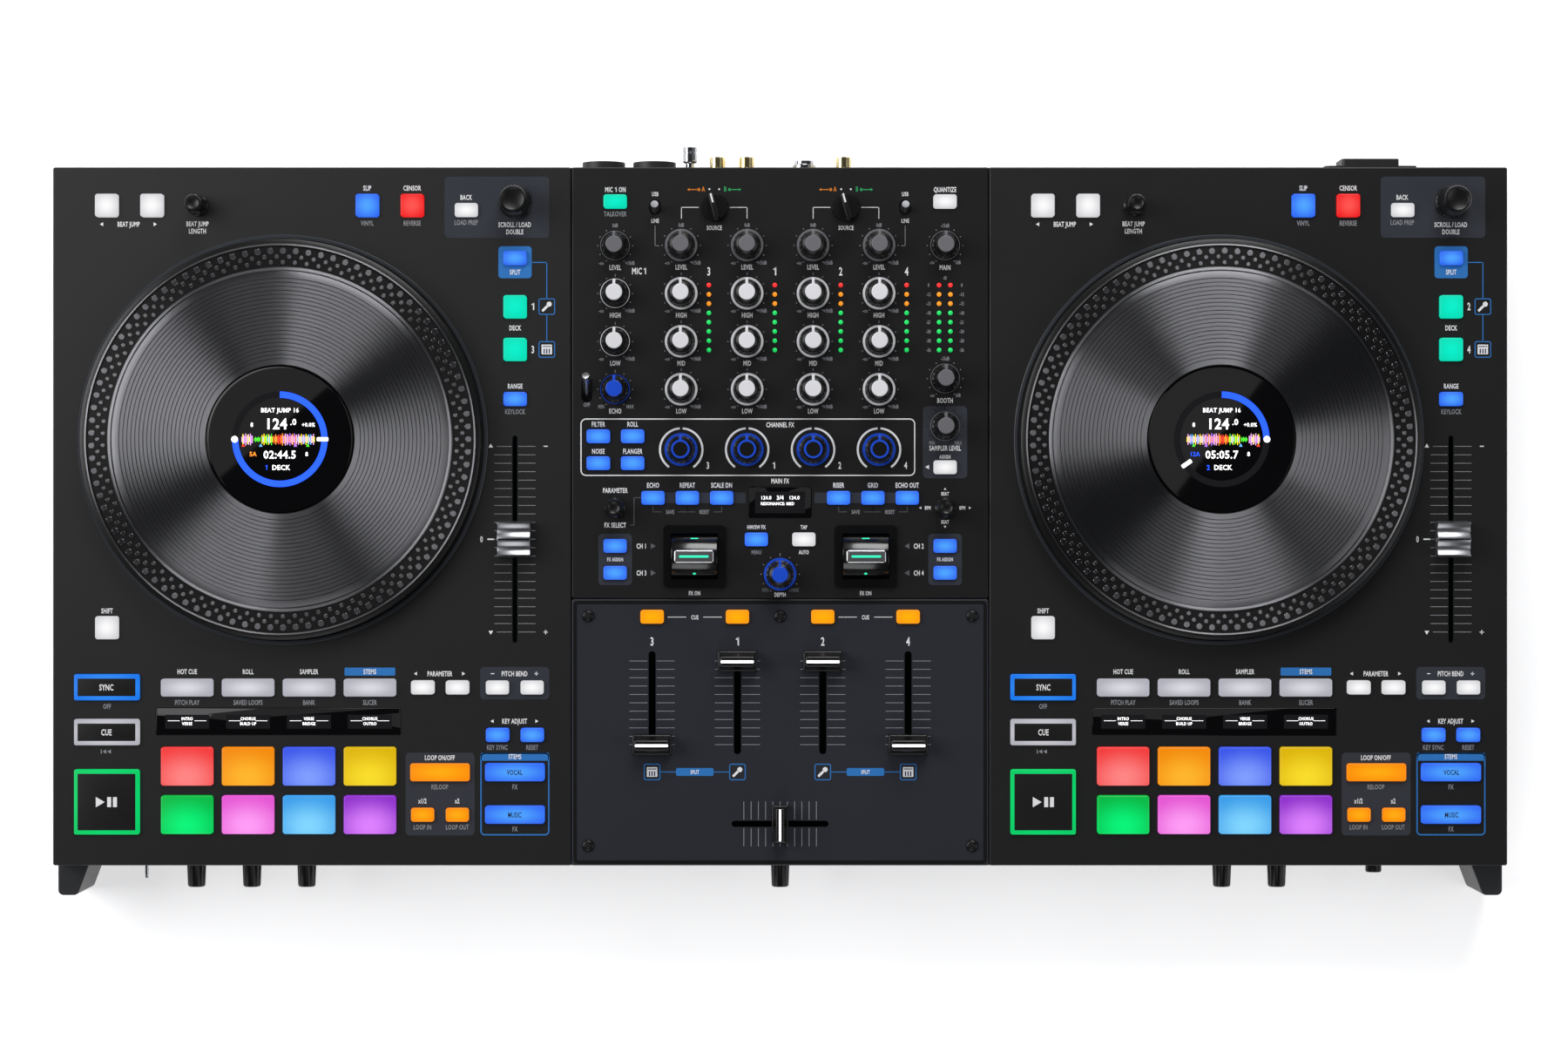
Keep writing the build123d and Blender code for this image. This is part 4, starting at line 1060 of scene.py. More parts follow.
# %% Meter lenses
lens_profile = [(0, face - 0.8), (1.25, face - 0.8), (1.25, face + 0.15), (1.0, face + 0.45),
                (0.55, face + 0.62), (0, face + 0.68)]
for name, rows, material in (("red", led_rows[:1], lamp_red), ("orange", led_rows[1:3], lamp_orange),
                             ("green", led_rows[3:], lamp_green)):
    group = bmesh.new()
    for x in led_columns:
        for y in rows:
            stamp(group, turned(lens_profile, x, body_y + y, steps=14))
    made = piece(f"meter_{name}", group, material)
    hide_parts("display_windows")
tally("meter lenses")

# %% [markdown]
# ## The platters
# A touch platter looks like a record: a smooth rim, three rows of strobe dots, and a grooved ring round a
# glass centre. The grooves are real here: the spun profile dips once per turn, and an anisotropic gloss
# stretches every highlight outwards as fine grooves do. The body, its dots and its bright rings ride on the
# turning body, and the glass centre stays still.

# %% Platter finishes
def lathe_cut(name, code, roughness, anisotropy, metallic=0.0, specular=0.5):
    """A finish cut on a lathe: its gloss is stretched across the cuts, along the UV map's radius."""
    material = grained(name, code, roughness, patches=0.1, size=1500, depth=0.05, metallic=metallic,
                       specular=specular)
    tree = material.node_tree
    shader = tree.nodes["Principled BSDF"]
    shader.inputs["Anisotropic"].default_value = anisotropy
    across = tree.nodes.new("ShaderNodeTangent")
    across.direction_type = "UV_MAP"
    across.uv_map = "radius"
    tree.links.new(across.outputs["Tangent"], shader.inputs["Tangent"])
    return material


groove_black = lathe_cut("groove_black", "#86868a", 0.36, 1.0, metallic=1.0)
rim_black = lathe_cut("rim_black", "#0b0b0c", 0.4, 0.6, specular=0.4)
dot_black = lathe_cut("strobe_dot", "#86868a", 0.34, 1.0, metallic=1.0)
ring_metal = lathe_cut("cut_ring", "#b0b0b4", 0.36, 1.0, metallic=1.0)


def radius_uv(bm, x, y):
    """A UV map with the radius along U and the angle along V, unbroken within each face."""
    layer = bm.loops.layers.uv.new("radius")
    for f in bm.faces:
        c = f.calc_center_median()
        around = math.atan2(c.y - y, c.x - x)
        for loop in f.loops:
            dx, dy = loop.vert.co.x - x, loop.vert.co.y - y
            swing = (math.atan2(dy, dx) - around + math.pi) % (2 * math.pi) - math.pi
            loop[layer].uv = (math.hypot(dx, dy) / 100, (around + swing) / 6)
    return bm


# %% Build a platter
platter_low, platter_high = corners("left_platter")
platter_top = platter_high.z
platter_radius = (platter_high.x - platter_low.x) / 2
display_low, display_high = corners("jog_displays")
between_platters = middle("right_platter").x - middle("left_platter").x
label_radius = (display_high.x - display_low.x - between_platters) / 2
groove_pitch, groove_count, groove_start, groove_dip = 2.15, 21, 43.3, 0.35
lip_edge, strobe_edge = 39.9, 92.2                      # the smooth black rings lie inside and outside these
bright_rings = ((90.8, 92.1), (103.9, 104.9))
dot_rows = ((101.0, 1.7, 0.0), (97.9, 1.15, 0.5), (94.9, 1.15, 0.0))    # radius, size, shift by part of a step
dots_per_row = 93
turn_steps = 160
print("glass radius", round(label_radius, 2), "mm in a platter of", round(platter_radius, 2), "mm")


def platter_profile():
    """Radius and height pairs from the glass recess, over the grooves and the rim, and back under."""
    top, low_top = platter_top - 0.5, platter_top - 0.5 - groove_dip
    points = [(label_radius + 0.35, top - 8.0), (label_radius + 0.35, top - 0.5), (label_radius + 0.8, top),
              (label_radius + 1.6, top)]
    for i in range(groove_count):
        r = groove_start + i * groove_pitch
        points += [(r - 0.28, top), (r - 0.12, low_top), (r + 0.12, low_top), (r + 0.28, top)]
    rim = platter_radius
    points += [(90.1, top), (90.5, top - 0.25), (90.9, top + 0.5), (91.9, top + 0.5), (92.5, top - 0.2),
               (103.6, top - 0.2), (104.0, top + 0.5), (104.8, top + 0.5), (105.3, top - 0.1),
               (rim - 1.4, top - 0.3), (rim - 0.5, top - 0.8), (rim - 0.1, top - 1.8), (rim - 0.1, face + 1.6),
               (rim - 0.8, face + 1.0), (rim - 6.0, face + 1.0), (rim - 6.0, top - 3.5),
               (label_radius + 0.35, top - 8.0)]
    return points


def platter_disc(side, x, y):
    """The turning body: grooves, black rings and two bright rings."""
    bm = turned(platter_profile(), x, y, steps=turn_steps)
    ribbed(bm, x, y, 120, 0.5, face + 1.5, platter_top - 2.0, platter_radius - 0.5)
    for f in bm.faces:
        r = (f.calc_center_median().xy - Vector((x, y))).length
        f.material_index = 1 if r > strobe_edge or r < lip_edge else 0
        if any(inner < r < outer for inner, outer in bright_rings):
            f.material_index = 2
    radius_uv(bm, x, y)
    body = f"{side}_platter"
    made = piece(f"{side}_platter_disc", bm, [groove_black, rim_black, ring_metal], body)
    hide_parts(f"{side}_platter")


def strobe_dots(side, x, y):
    """Three rows of raised dots, which turn with the platter."""
    dots = bmesh.new()
    base = platter_top - 0.75
    for radius, size, shift in dot_rows:
        profile = [(size, base), (size, base + 0.3), (size - 0.25, base + 0.55), (0, base + 0.56)]
        for i in range(dots_per_row):
            angle = 2 * math.pi * (i + shift) / dots_per_row
            stamp(dots, turned(profile, x + radius * math.cos(angle), y + radius * math.sin(angle), steps=12))
    radius_uv(dots, x, y)
    piece(f"{side}_platter_dots", dots, dot_black, f"{side}_platter")


def jog_rim(side, x, y):
    """The raised ring in the panel, round the platter."""
    inner, outer = platter_radius + 0.4, platter_radius + 2.6
    ring = turned([(inner, face), (outer, face), (outer, face + 0.5), (outer - 0.4, face + 0.8),
                   (inner + 0.3, face + 0.8), (inner, face + 0.5)], x, y, steps=turn_steps, closed=True)
    piece(f"{side}_jog_rim", ring, rim_paint)


for side in ("left", "right"):
    centre = middle(f"{side}_platter")
    platter_disc(side, centre.x, centre.y)
    strobe_dots(side, centre.x, centre.y)
    jog_rim(side, centre.x, centre.y)
tally("platters")

# %% [markdown]
# ## Centre displays
# The glass centre is one thick lens on a hollow post, and it doesn't turn. What it shows could be a picture,
# but thin bright shapes just above the glass stay sharp from near by, and every line of them can be told
# apart: a ring with a marker, a few figures, and a waveform made of narrow bars in runs of one height.

# %% Colours of the waveform
bar_pitch = 0.5
wave_runs = ((-20.5, -14.3, 6.4, ("pink", "violet", "yellow")), (-13.8, -10.2, 2.8, ("green",)),
             (-9.7, -3.9, 6.0, ("yellow", "green", "sky")), (-3.4, 1.2, 5.4, ("red", "orange")),
             (1.2, 8.8, 6.6, ("orange", "pink", "violet")), (8.8, 19.0, 5.8, ("pink", "yellow", "sky")))
cue_marks = (("red", -19.6), ("sky", -10.2), ("violet", 8.4), ("green", 15.0))
wave_paints = {colour: glowing(f"wave_{colour}", code, 0.9) for colour, code in (
    ("red", "#e23a22"), ("orange", "#f0892a"), ("yellow", "#e6d21e"), ("green", "#46cf2c"),
    ("sky", "#5ea6ee"), ("pink", "#dc9fd6"), ("violet", "#a06ad8"))}
print(len(wave_paints), "waveform colours in", len(wave_runs), "runs")


# %% Waveform
def waveform(side, x, y, low, high):
    """The coloured picture of a track: runs of thin bars, each run with its own height and colours."""
    flip = 1 if side == "left" else -1
    bars = {colour: bmesh.new() for colour in wave_paints}
    for start, end, tall, colours in wave_runs:
        for i in range(round((end - start) / bar_pitch)):
            level = 0.72 + 0.28 * math.sin(2.4 * i + start)
            bar_x = x + flip * (start + (i + 0.5) * bar_pitch)
            colour = colours[i * 5 % 7 % len(colours)]
            stamp(bars[colour], slab(bar_x, y - 0.1, bar_pitch * 0.86, tall * level, low, high))
    for colour, place in cue_marks:
        stamp(bars[colour], arrow(x + flip * place, y - 3.4, 1.1, 90, low, high + 0.02))
    for colour, bm in bars.items():
        piece(f"{side}_wave_{colour}", bm, wave_paints[colour])


# %% Lens, ring and figures
post_radius, post_bore, glass_thickness = 10.0, 7.0, 2.6
ring_inner, ring_outer, screen_narrow = 22.2, 25.6, 0.95
foot, glass = display_low.z, display_high.z
screen_low, screen_high = glass - 0.05, glass + 0.06


def display_lens(side, x, y):
    """The glass centre on its post; a ring just inside its rim keeps the flat middle free of warped shine."""
    under = glass - glass_thickness
    lens = turned([(0, under), (post_bore, under), (post_bore, foot), (post_radius, foot), (post_radius, under),
                   (label_radius - 0.4, under), (label_radius, under + 0.4), (label_radius, glass - 0.5),
                   (label_radius - 0.2, glass - 0.12), (label_radius - 0.6, glass), (label_radius - 1.4, glass),
                   (0, glass)], x, y, steps=turn_steps)
    made = piece(f"{side}_display_glass", lens, window_glass)
    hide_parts("jog_displays")


def centre_display(side, arc_from, arc_to, bar_angle, clock, musical_key, number):
    """One centre: its glass, and the ring, marker, figures and waveform that it shows."""
    x, y = middle(f"{side}_platter").x, middle(f"{side}_platter").y
    low, high = screen_low, screen_high
    display_lens(side, x, y)
    ring, words, track = bmesh.new(), bmesh.new(), bmesh.new()
    stamp(ring, arc_band(x, y, ring_inner, ring_outer, arc_from, arc_to, low, high, steps=90))
    stamp(track, arc_band(x, y, ring_inner, ring_outer, arc_to, arc_from + 360, low - 0.02, high - 0.02,
                          steps=60))
    a = math.radians(arc_from)
    stamp(words, disc(x + 24.2 * math.cos(a), y + 24.2 * math.sin(a), 1.8, low, high + 0.05, segments=32))
    stamp(words, placed(slab(22.9, 0, 6.2, 2.2, low, high + 0.03, 0.6), x, y, turn=bar_angle))
    for text, dx, dy, size in (("BEAT JUMP 16", 0.0, 15.6, 2.3), ("124", -2.0, 8.3, 5.6), (".0", 7.2, 9.3, 3.2),
                               ("8", -15.0, 7.8, 2.2), ("+0.0%", 15.3, 7.8, 2.0), ("8", 14.4, -7.9, 2.2),
                               (clock, 0.0, -8.2, 4.1), ("DECK", 0.6, -15.1, 2.6)):
        stamp(words, lettering(text, x + dx, y + dy, size, low, high, narrow=screen_narrow))
    key_word = lettering(musical_key, x - 14.4, y - 7.9, 2.3, low, high, narrow=screen_narrow)
    deck_number = lettering(number, x - 7.2, y - 15.1, 2.6, low, high, narrow=screen_narrow)
    piece(f"{side}_display_ring", ring, screen_blue)
    piece(f"{side}_display_track", track, screen_slate)
    piece(f"{side}_display_words", words, screen_white_and_painted_glow)
    piece(f"{side}_display_key", key_word, screen_blue if side == "right" else wave_paints["orange"])
    piece(f"{side}_display_deck", deck_number, screen_blue)
    waveform(side, x, y, low, high)


centre_display("left", -180, 90, 0, "02:44.5", "5A", "1")
centre_display("right", 0, 90, 215, "05:05.7", "12A", "2")
tally("centre displays")

# %% [markdown]
# ## Knobs
# A mixer knob is moulded in two shots: a soft dark grip with shallow ribs, and a coloured insert that shows
# as the cap, the pointer and the ring at its foot. Turned profiles give both, and the pointer is two thin
# bars that run over the shoulder and down the side.

# %% A knob's parts
def dial_mesh(x, y, ring=(7.55, 8.8), grip=7.2, cap=4.4, height=16.5, cap_ring=None):
    """Grip in slot 0 and coloured insert in slot 1; cap_ring leaves a dark middle in the cap."""
    bm = bmesh.new()
    low, h = face + 0.6, face + height
    grip_shape = turned([(0, low), (grip + 0.3, low), (grip + 0.3, face + 2.2), (grip, face + 2.6),
                         (grip - 0.15, h - 7), (grip - 0.35, h - 3.2), (grip - 0.7, h - 1.9),
                         (grip - 1.4, h - 0.9), (cap + 0.25, h - 0.35), (cap + 0.1, h - 0.6), (0, h - 0.6)],
                        x, y, steps=72)
    ribbed(grip_shape, x, y, 18, 0.55, face + 2.5, h - 2.5, grip - 1.2)
    stamp(bm, grip_shape, 0)
    inner, outer = ring
    stamp(bm, turned([(inner, low), (outer - 0.1, low), (outer, face + 0.8), (outer, face + 1.6),
                      (outer - 0.25, face + 1.95), (inner, face + 1.95)], x, y, steps=64, closed=True), 1)
    if cap_ring:
        stamp(bm, turned([(cap_ring, h - 0.6), (cap, h - 0.6), (cap, h - 0.15), (cap - 0.15, h), (cap_ring, h)],
                         x, y, steps=48, closed=True), 1)
        stamp(bm, turned([(0, h - 0.6), (cap_ring, h - 0.6), (cap_ring, h - 0.05), (0, h - 0.02)],
                         x, y, steps=48), 0)
    else:
        stamp(bm, turned([(0, h - 0.6), (cap, h - 0.6), (cap, h - 0.3), (cap - 0.35, h - 0.05), (0, h)],
                         x, y, steps=48), 1)
    reach = grip - cap + 0.4
    stamp(bm, slab(x, y + cap + reach / 2 - 0.5, 1.5, reach, h - 2.4, h - 0.2, edge=0.15), 1)
    stamp(bm, slab(x, y + grip - 0.1, 1.5, 0.9, face + 1.8, h - 1.9, edge=0.2), 1)
    return bm


def dial(node, colour, **shape):
    """A knob that stands for its own node and turns with it."""
    centre = middle(node)
    made = piece(f"{node}_dial", dial_mesh(centre.x, centre.y, **shape), [grip_rubber, colour], node)
    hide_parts(node)


for ch in (1, 2, 3, 4):
    dial(f"channel_{ch}_level_knob", knob_grey)
    for row in ("high", "mid", "low"):
        dial(f"channel_{ch}_{row}_knob", knob_white)
    dial(f"channel_{ch}_fx_knob", knob_blue, ring=(7.55, 8.9), cap=5.0, cap_ring=3.9)
dial("fx_depth_knob", knob_blue)
tally("channel knobs")

# %% Knobs that share one node
mic_colours = {"level": knob_grey, "high": knob_white, "low": knob_white, "echo": knob_blue}
shared = [(-side_x, y, mic_colours[row]) for row, y in mic_rows.items()]
shared += [(side_x, y, knob_grey) for y in (146.0, 74.3, 48.6)]
for i, (x, y, colour) in enumerate(shared):
    bm = dial_mesh(x, body_y + y, ring=(7.6, 7.95), grip=6.7, height=15.0)
    made = piece(f"set_knob_{i + 1}", bm, [grip_rubber, colour])
    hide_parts("auxiliary_controls")
tally("set knobs")

# %% [markdown]
# ## Encoders and selectors
# An encoder turns without end, so it has no pointer: a wide skirt, a tall waist and a dished top, with
# shallow ribs pressed in. A source selector has only a few places, so it is a bar across a low disc, with a
# white line that shows which one it is in. Both could be lathe shapes alone; pressing the ribs in afterwards
# keeps them one shell.

# %% Encoders
def encoder_mesh(x, y, base, tip, height, ribs):
    """A tall endless knob with a dished top."""
    h = face + height
    bm = turned([(0, face + 0.5), (base, face + 0.5), (base, face + 2.2), (base - 0.5, face + 2.9),
                 (tip + 0.5, h - 2.2), (tip + 0.1, h - 0.9), (tip - 0.6, h - 0.1), (tip - 1.3, h - 0.05),
                 (tip - 2.0, h - 0.5), (0, h - 0.8)], x, y, steps=72)
    return ribbed(bm, x, y, ribs, 0.5, face + 2.6, h - 2.0, tip - 0.5)


browse_shape, small_shape = (9.0, 7.2, 19.9, 24), (5.5, 4.4, 18.1, 8)
for node, shape in (("left_browse_encoder", browse_shape), ("right_browse_encoder", browse_shape),
                    ("fx_parameter_encoder", small_shape), ("fx_beat_encoder", small_shape)):
    c = middle(node)
    made = piece(f"{node}_cap", encoder_mesh(c.x, c.y, *shape), grip_rubber, node)
    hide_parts(node)
for side, x0 in deck_x.items():
    bm = encoder_mesh(x0 - 61.5, body_y + 167.6, 5.8, 4.6, 18.1, 8)
    piece(f"{side}_seek_encoder", bm, grip_rubber)
tally("encoders")

# %% Source selectors
selector_turn = 15
for side in ("left", "right"):
    node = f"{side}_source_selector"
    c = middle(node)
    skirt = turned([(0, face + 0.5), (7.5, face + 0.5), (7.5, face + 2.6), (7.0, face + 3.4), (0, face + 3.6)],
                   c.x, c.y, steps=64)
    ribbed(skirt, c.x, c.y, 12, 0.4, face + 0.4, face + 2.8, 6.0)
    bar = slab(0, 0, 4.2, 14.2, face + 0.6, face + 12.6, 1.2, 0.6, taper=(0.7, 0.95))
    line = slab(0, 4.4, 0.9, 5.0, face + 12.3, face + 12.68, 0.3)
    bm = stamp(bmesh.new(), skirt, 0)
    stamp(bm, placed(bar, c.x, c.y, turn=selector_turn), 0)
    stamp(bm, placed(line, c.x, c.y, turn=selector_turn), 1)
    made = piece(f"{node}_knob", bm, [grip_rubber, ink_white], node)
    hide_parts(node)
tally("source selectors")

# %% [markdown]
# ## Faders
# A channel fader cap is a wide foot with a raised ridge, and a white line along the ridge that shows its
# exact place. The line glows though no lamp is under it, a painted glow. The pitch cap is milled metal,
# scooped before and behind its centre line.

# %% Channel fader and crossfader caps
def fader_mesh(x, y, across):
    """Foot and ridge in slot 0, white line in slot 1 with a painted glow; one that lies across is a little
    smaller.
    """
    bm = bmesh.new()
    low = face + 0.6
    stamp(bm, slab(0, 0, 21.2, 11.3, low, low + 2.6, 0.8, 0.5, taper=(0.98, 0.94)), 0)
    stamp(bm, slab(0, 0, 20.0, 9.6, low + 2.2, low + 9.7, 0.8, 0.7, taper=(0.93, 0.56)), 0)
    stamp(bm, slab(0, 0, 17.9, 1.5, low + 9.5, low + 9.9, 0.7), 1)
    if across:
        placed(bm, 0, 0, turn=90)
        bmesh.ops.scale(bm, vec=(0.82, 0.96, 1), verts=bm.verts)
    return placed(bm, x, y)


for node in [f"channel_{ch}_fader" for ch in (1, 2, 3, 4)] + ["crossfader"]:
    c = middle(node)
    bm = fader_mesh(c.x, c.y, node == "crossfader")
    # slot 1, the white line, glows with the screen finish though it is only paint: a painted glow
    made = piece(f"{node}_cap", bm, [cap_black, screen_white_and_painted_glow], node)
    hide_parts(node)
tally("fader caps")


# %% Pitch fader caps
def pitch_mesh(x, y):
    """A scooped metal cap: its side outline is swept across, then its ends are softened."""
    half, width, low, high, scoop, scoop_length = 9.9, 17.7, face + 0.6, face + 11.0, 2.2, 7.0
    side_points = [(-half, low), (-half, low + 1.2), (-half + 1.0, high - 0.6)]
    for t in (0, 0.17, 0.33, 0.5, 0.67, 0.83, 1):
        sink = scoop * math.sin(math.pi * (0.08 + 0.84 * t))
        side_points.append((-half + 1.6 + t * scoop_length, high - sink))
    side_points += [(-along, z) for along, z in reversed(side_points)]
    bm = bmesh.new()
    end = bm.faces.new([bm.verts.new((-width / 2, along, z)) for along, z in side_points])
    moved = bmesh.ops.extrude_face_region(bm, geom=[end])["geom"]
    bmesh.ops.translate(bm, vec=(width, 0, 0), verts=[v for v in moved if isinstance(v, bmesh.types.BMVert)])
    bmesh.ops.recalc_face_normals(bm, faces=bm.faces)
    sides = [e for e in bm.edges if abs(e.verts[0].co.x - e.verts[1].co.x) < 1e-4]
    bmesh.ops.bevel(bm, geom=sides, offset=0.35, segments=2, **BEVEL)
    whole = stamp(bmesh.new(), bm, 0)
    stamp(whole, slab(0, 0, width - 0.6, 0.7, high - 1.2, high + 0.05), 1)
    return placed(whole, x, y)


for side in ("left", "right"):
    node = f"{side}_pitch_fader"
    c = middle(node)
    made = piece(f"{node}_cap", pitch_mesh(c.x, c.y), [satin_metal, dark_gloss], node)
    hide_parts(node)
tally("pitch caps")

# %% [markdown]
# ## Effect paddles
# Each paddle is a short drum in a square well, with a bright lever across it. The drum and lever tilt
# together, so they are one piece with three finishes, and its two mint lamps ride along.

# %% Paddles
axle_z = face - 3.0
drum_radius, drum_width = 11.85, 24.8
lever_grey = grained("lever_grey", "#6f7073", 0.3, size=900, depth=0.05, metallic=0.6)


def drum(x, y):
    """A drum lying along X, with its two rims softened."""
    bm = bmesh.new()
    lying = Matrix.Translation((x, y, axle_z)) @ Matrix.Rotation(math.pi / 2, 4, "Y")
    bmesh.ops.create_cone(bm, cap_ends=True, segments=96, radius1=drum_radius, radius2=drum_radius,
                          depth=drum_width, matrix=lying)
    rims = [e for e in bm.edges if abs(e.verts[0].co.x - e.verts[1].co.x) < 1e-4]
    bmesh.ops.bevel(bm, geom=rims, offset=0.5, segments=2, **BEVEL)
    return bm


for side in ("left", "right"):
    node = f"{side}_fx_paddle"
    c = middle(node)
    bm = stamp(bmesh.new(), drum(c.x, c.y), 0)
    stamp(bm, slab(c.x, c.y, 21.9, 7.8, face + 4.0, face + 15.7, 1.4, 0.9, taper=(0.98, 0.92)), 1)
    stamp(bm, slab(c.x, c.y, 19.4, 5.4, face + 15.4, face + 15.85, 0.9, 0.1), 3)
    stamp(bm, slab(c.x, c.y, 15.8, 1.2, face + 15.7, face + 16.0, 0.5), 2)
    for lean, width, depth in ((-54, 4.2, 0.8), (52, 1.7, 1.7)):
        lamp = slab(0, 0, width, depth, drum_radius - 0.3, drum_radius + 0.06, depth * 0.45)
        stamp(bm, placed(lamp, c.x, c.y, axle_z, lean, "X"), 2)
    made = piece(f"{node}_drum", bm, [dark_gloss, bright_steel, lamp_mint, lever_grey], node)
    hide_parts(node)
tally("paddles")

# %% [markdown]
# ## Toggles and screws
# A toggle is a turned metal lever with a thicker head, so a spun profile that is tipped afterwards gives its
# true shape. It stands in a dark oval well. The screws have low domes with a cross, and the cross is two thin
# dark bars in the dome, painted shade that stands for the depth of the slot, because at this size nobody sees
# how deep it is.

# %% Toggles
toggle_places = [("line_toggle_left", -toggle_x, 164.4, 10.5, 18, dull_metal),
                 ("line_toggle_right", toggle_x, 164.4, 10.5, 18, dull_metal),
                 ("echo_toggle", -104.2, 66.0, 15.5, 38, bright_steel)]
well_places = [(-toggle_x, 166.7, 7.4, 9.0), (toggle_x, 166.7, 7.4, 9.0), (-104.2, 68.5, 6.8, 14.8)]


def toggle_lever(length):
    """An upright lever, thicker towards its round head."""
    return turned([(0, 0), (1.5, 0), (1.7, length * 0.4), (2.2, length * 0.8), (2.35, length * 0.93),
                   (2.0, length), (0, length + 0.15)], steps=32)


for name, x, y, length, tilt, material in toggle_places:
    lever = placed(toggle_lever(length), x, body_y + y, face - 1.0, -tilt, "X")
    piece(name, lever, material)
wells = bmesh.new()
for x, y, width, depth in well_places:
    stamp(wells, slab(x, body_y + y, width, depth, face - 3.0, face - 2.0, 3.0))
piece("toggle_wells", wells, dark_gloss)
tally("toggles")

# %% Screws
screw_places = ((-103.5, -53.6), (103.5, -53.6), (0.0, -53.9), (-103.5, -177.5), (103.5, -177.5))
screw_dome = [(0, face - 1.0), (3.2, face - 1.0), (3.2, face + 0.5), (2.8, face + 1.1), (1.9, face + 1.5),
              (0, face + 1.6)]
screws = bmesh.new()
for x, y in screw_places:
    stamp(screws, turned(screw_dome, x, body_y + y, steps=40), 0)
    # the cross is a flat dark bar in the rubber finish: painted shade where the slot's depth would be
    for width, depth in ((3.0, 0.75), (0.75, 3.0)):
        stamp(screws, slab(x, body_y + y, width, depth, face + 1.0, face + 1.63), 1)
made = piece("cross_screws", screws, [black_steel, rubber_and_slot_shade])
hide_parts("panel_screws")
tally("screws")

# %% [markdown]
# ## Sockets and the front row
# Plugs go in from behind and from the front, so these parts are turned about an axis that lies level. Each is
# spun upright like the rest, then laid down against its wall: the barrels of the line sockets with their
# coloured sleeves, the stepped earth post, the jacks, and the ribbed knobs and the toggle that point towards
# the player.

# %% Line sockets
rear_y, front_y = case_high.y, case_low.y
socket_z, front_z, row_gap = 34.0, 30.0, 8.0
phono_columns = (-34.1, -18.2, 34.5)
jack_x, earth_x, headphone_x = 13.0, -49.3, 324.6
barrel = [(3.3, -8.8), (4.15, -8.8), (4.15, 0.3), (4.6, 0.3), (4.6, 1.1), (4.15, 1.3), (4.15, 6.7), (3.9, 7.0),
          (3.3, 7.0)]
sleeve = [(1.7, -8.0), (3.3, -8.0), (3.3, 6.3), (1.7, 6.3)]
earth_post = [(0, -6.8), (2.2, -6.8), (2.2, 0.0), (3.3, 0.2), (3.3, 1.8), (2.3, 2.2), (2.3, 4.4), (3.6, 4.9),
              (3.95, 5.4), (3.95, 9.6), (3.4, 9.9), (3.4, 10.3), (3.95, 10.6), (3.95, 13.0), (3.5, 13.45),
              (0, 13.5)]
jack = [(3.25, -21.9), (6.4, -21.9), (6.4, 3.4), (5.4, 3.9), (5.2, 5.6), (4.7, 6.0), (3.25, 6.0)]
headphone_jack = [(1.8, -10.5), (4.3, -10.5), (4.3, 0.2), (4.4, 5.4), (4.0, 6.2), (1.8, 6.2)]


def socket(profile, x, z, wall_y, outward=1):
    """A turned socket part: radius and reach pairs from the wall, turned about Y."""
    return placed(turned(profile, steps=40, closed=profile[0][0] > 0), x, wall_y, z, -outward * 90, "X")


barrels = bmesh.new()
for x in phono_columns:
    for colour_slot, z in ((1, socket_z - row_gap), (2, socket_z + row_gap)):
        stamp(barrels, socket(barrel, x, z, rear_y), 0)
        stamp(barrels, socket(sleeve, x, z, rear_y), colour_slot)
made = piece("phono_sockets", barrels, [gold_plate, socket_white, socket_red])
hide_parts("line_sockets")
piece("earth_post", socket(earth_post, earth_x, socket_z, rear_y), nickel)
jacks = stamp(bmesh.new(), socket(jack, jack_x, socket_z, rear_y), 0)
stamp(jacks, socket(headphone_jack, headphone_x, front_z, front_y, -1), 1)
piece("jack_sockets", jacks, [nickel, black_steel])
tally("sockets")

# %% Front row
front_knob_places, front_toggle_x = (-319.3, -289.0, -259.0, 0.0, 241.6, 271.6), -346.5
front_row = bmesh.new()
for x in front_knob_places:
    knob = turned([(0, 0), (5.5, 0), (5.5, 1.2), (5.2, 1.6), (4.8, 12.6), (4.5, 13.4), (3.8, 13.8), (0, 13.9)],
                  steps=48)
    ribbed(knob, 0, 0, 12, 0.5, 1.4, 13.0, 3.0)
    stamp(front_row, placed(knob, x, front_y - 0.5, front_z, 90, "X"))
piece("front_knobs", front_row, grip_rubber)
lever = turned([(0, -4), (1.9, -4), (1.9, 1.4), (1.0, 1.8), (0.95, 9.0), (0.7, 9.7), (0, 9.8)], steps=24)
piece("front_toggle", placed(lever, front_toggle_x, front_y, front_z, 90, "X"), bright_steel)
tally("front row")

# %% [markdown]
# ## Table and light
# The controller lies on a plain pale table, wide enough that a low camera never sees its edge. Three soft
# cards hang overhead and shine on the painted tops and the glass centres only, so that these fade from grey
# to black. Four broad low panels, one on each side, keep the table white, and the grooves stretch their
# reflections into the two pairs of bright fans that a record shows. Sunlight or a sky picture would put hard
# or busy reflections there.

# %% Table
table_half, table_drop = 9000, 0.2
table = bmesh.new()
bmesh.ops.create_grid(table, x_segments=1, y_segments=1, size=table_half)
bmesh.ops.translate(table, vec=(0, 0, -table_drop), verts=table.verts)
table_mesh = bpy.data.meshes.new("table_top")
table.to_mesh(table_mesh)
table.free()
table_mesh.transform(Matrix.Scale(mm, 4))
table_mesh.materials.append(glowing("table_paint", "#f6f6f7", 0.55))
table_top = bpy.data.objects.new("table_top", table_mesh)
bpy.context.scene.collection.objects.link(table_top)
table_top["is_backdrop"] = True
print("table", 2 * table_half * mm, "m wide")


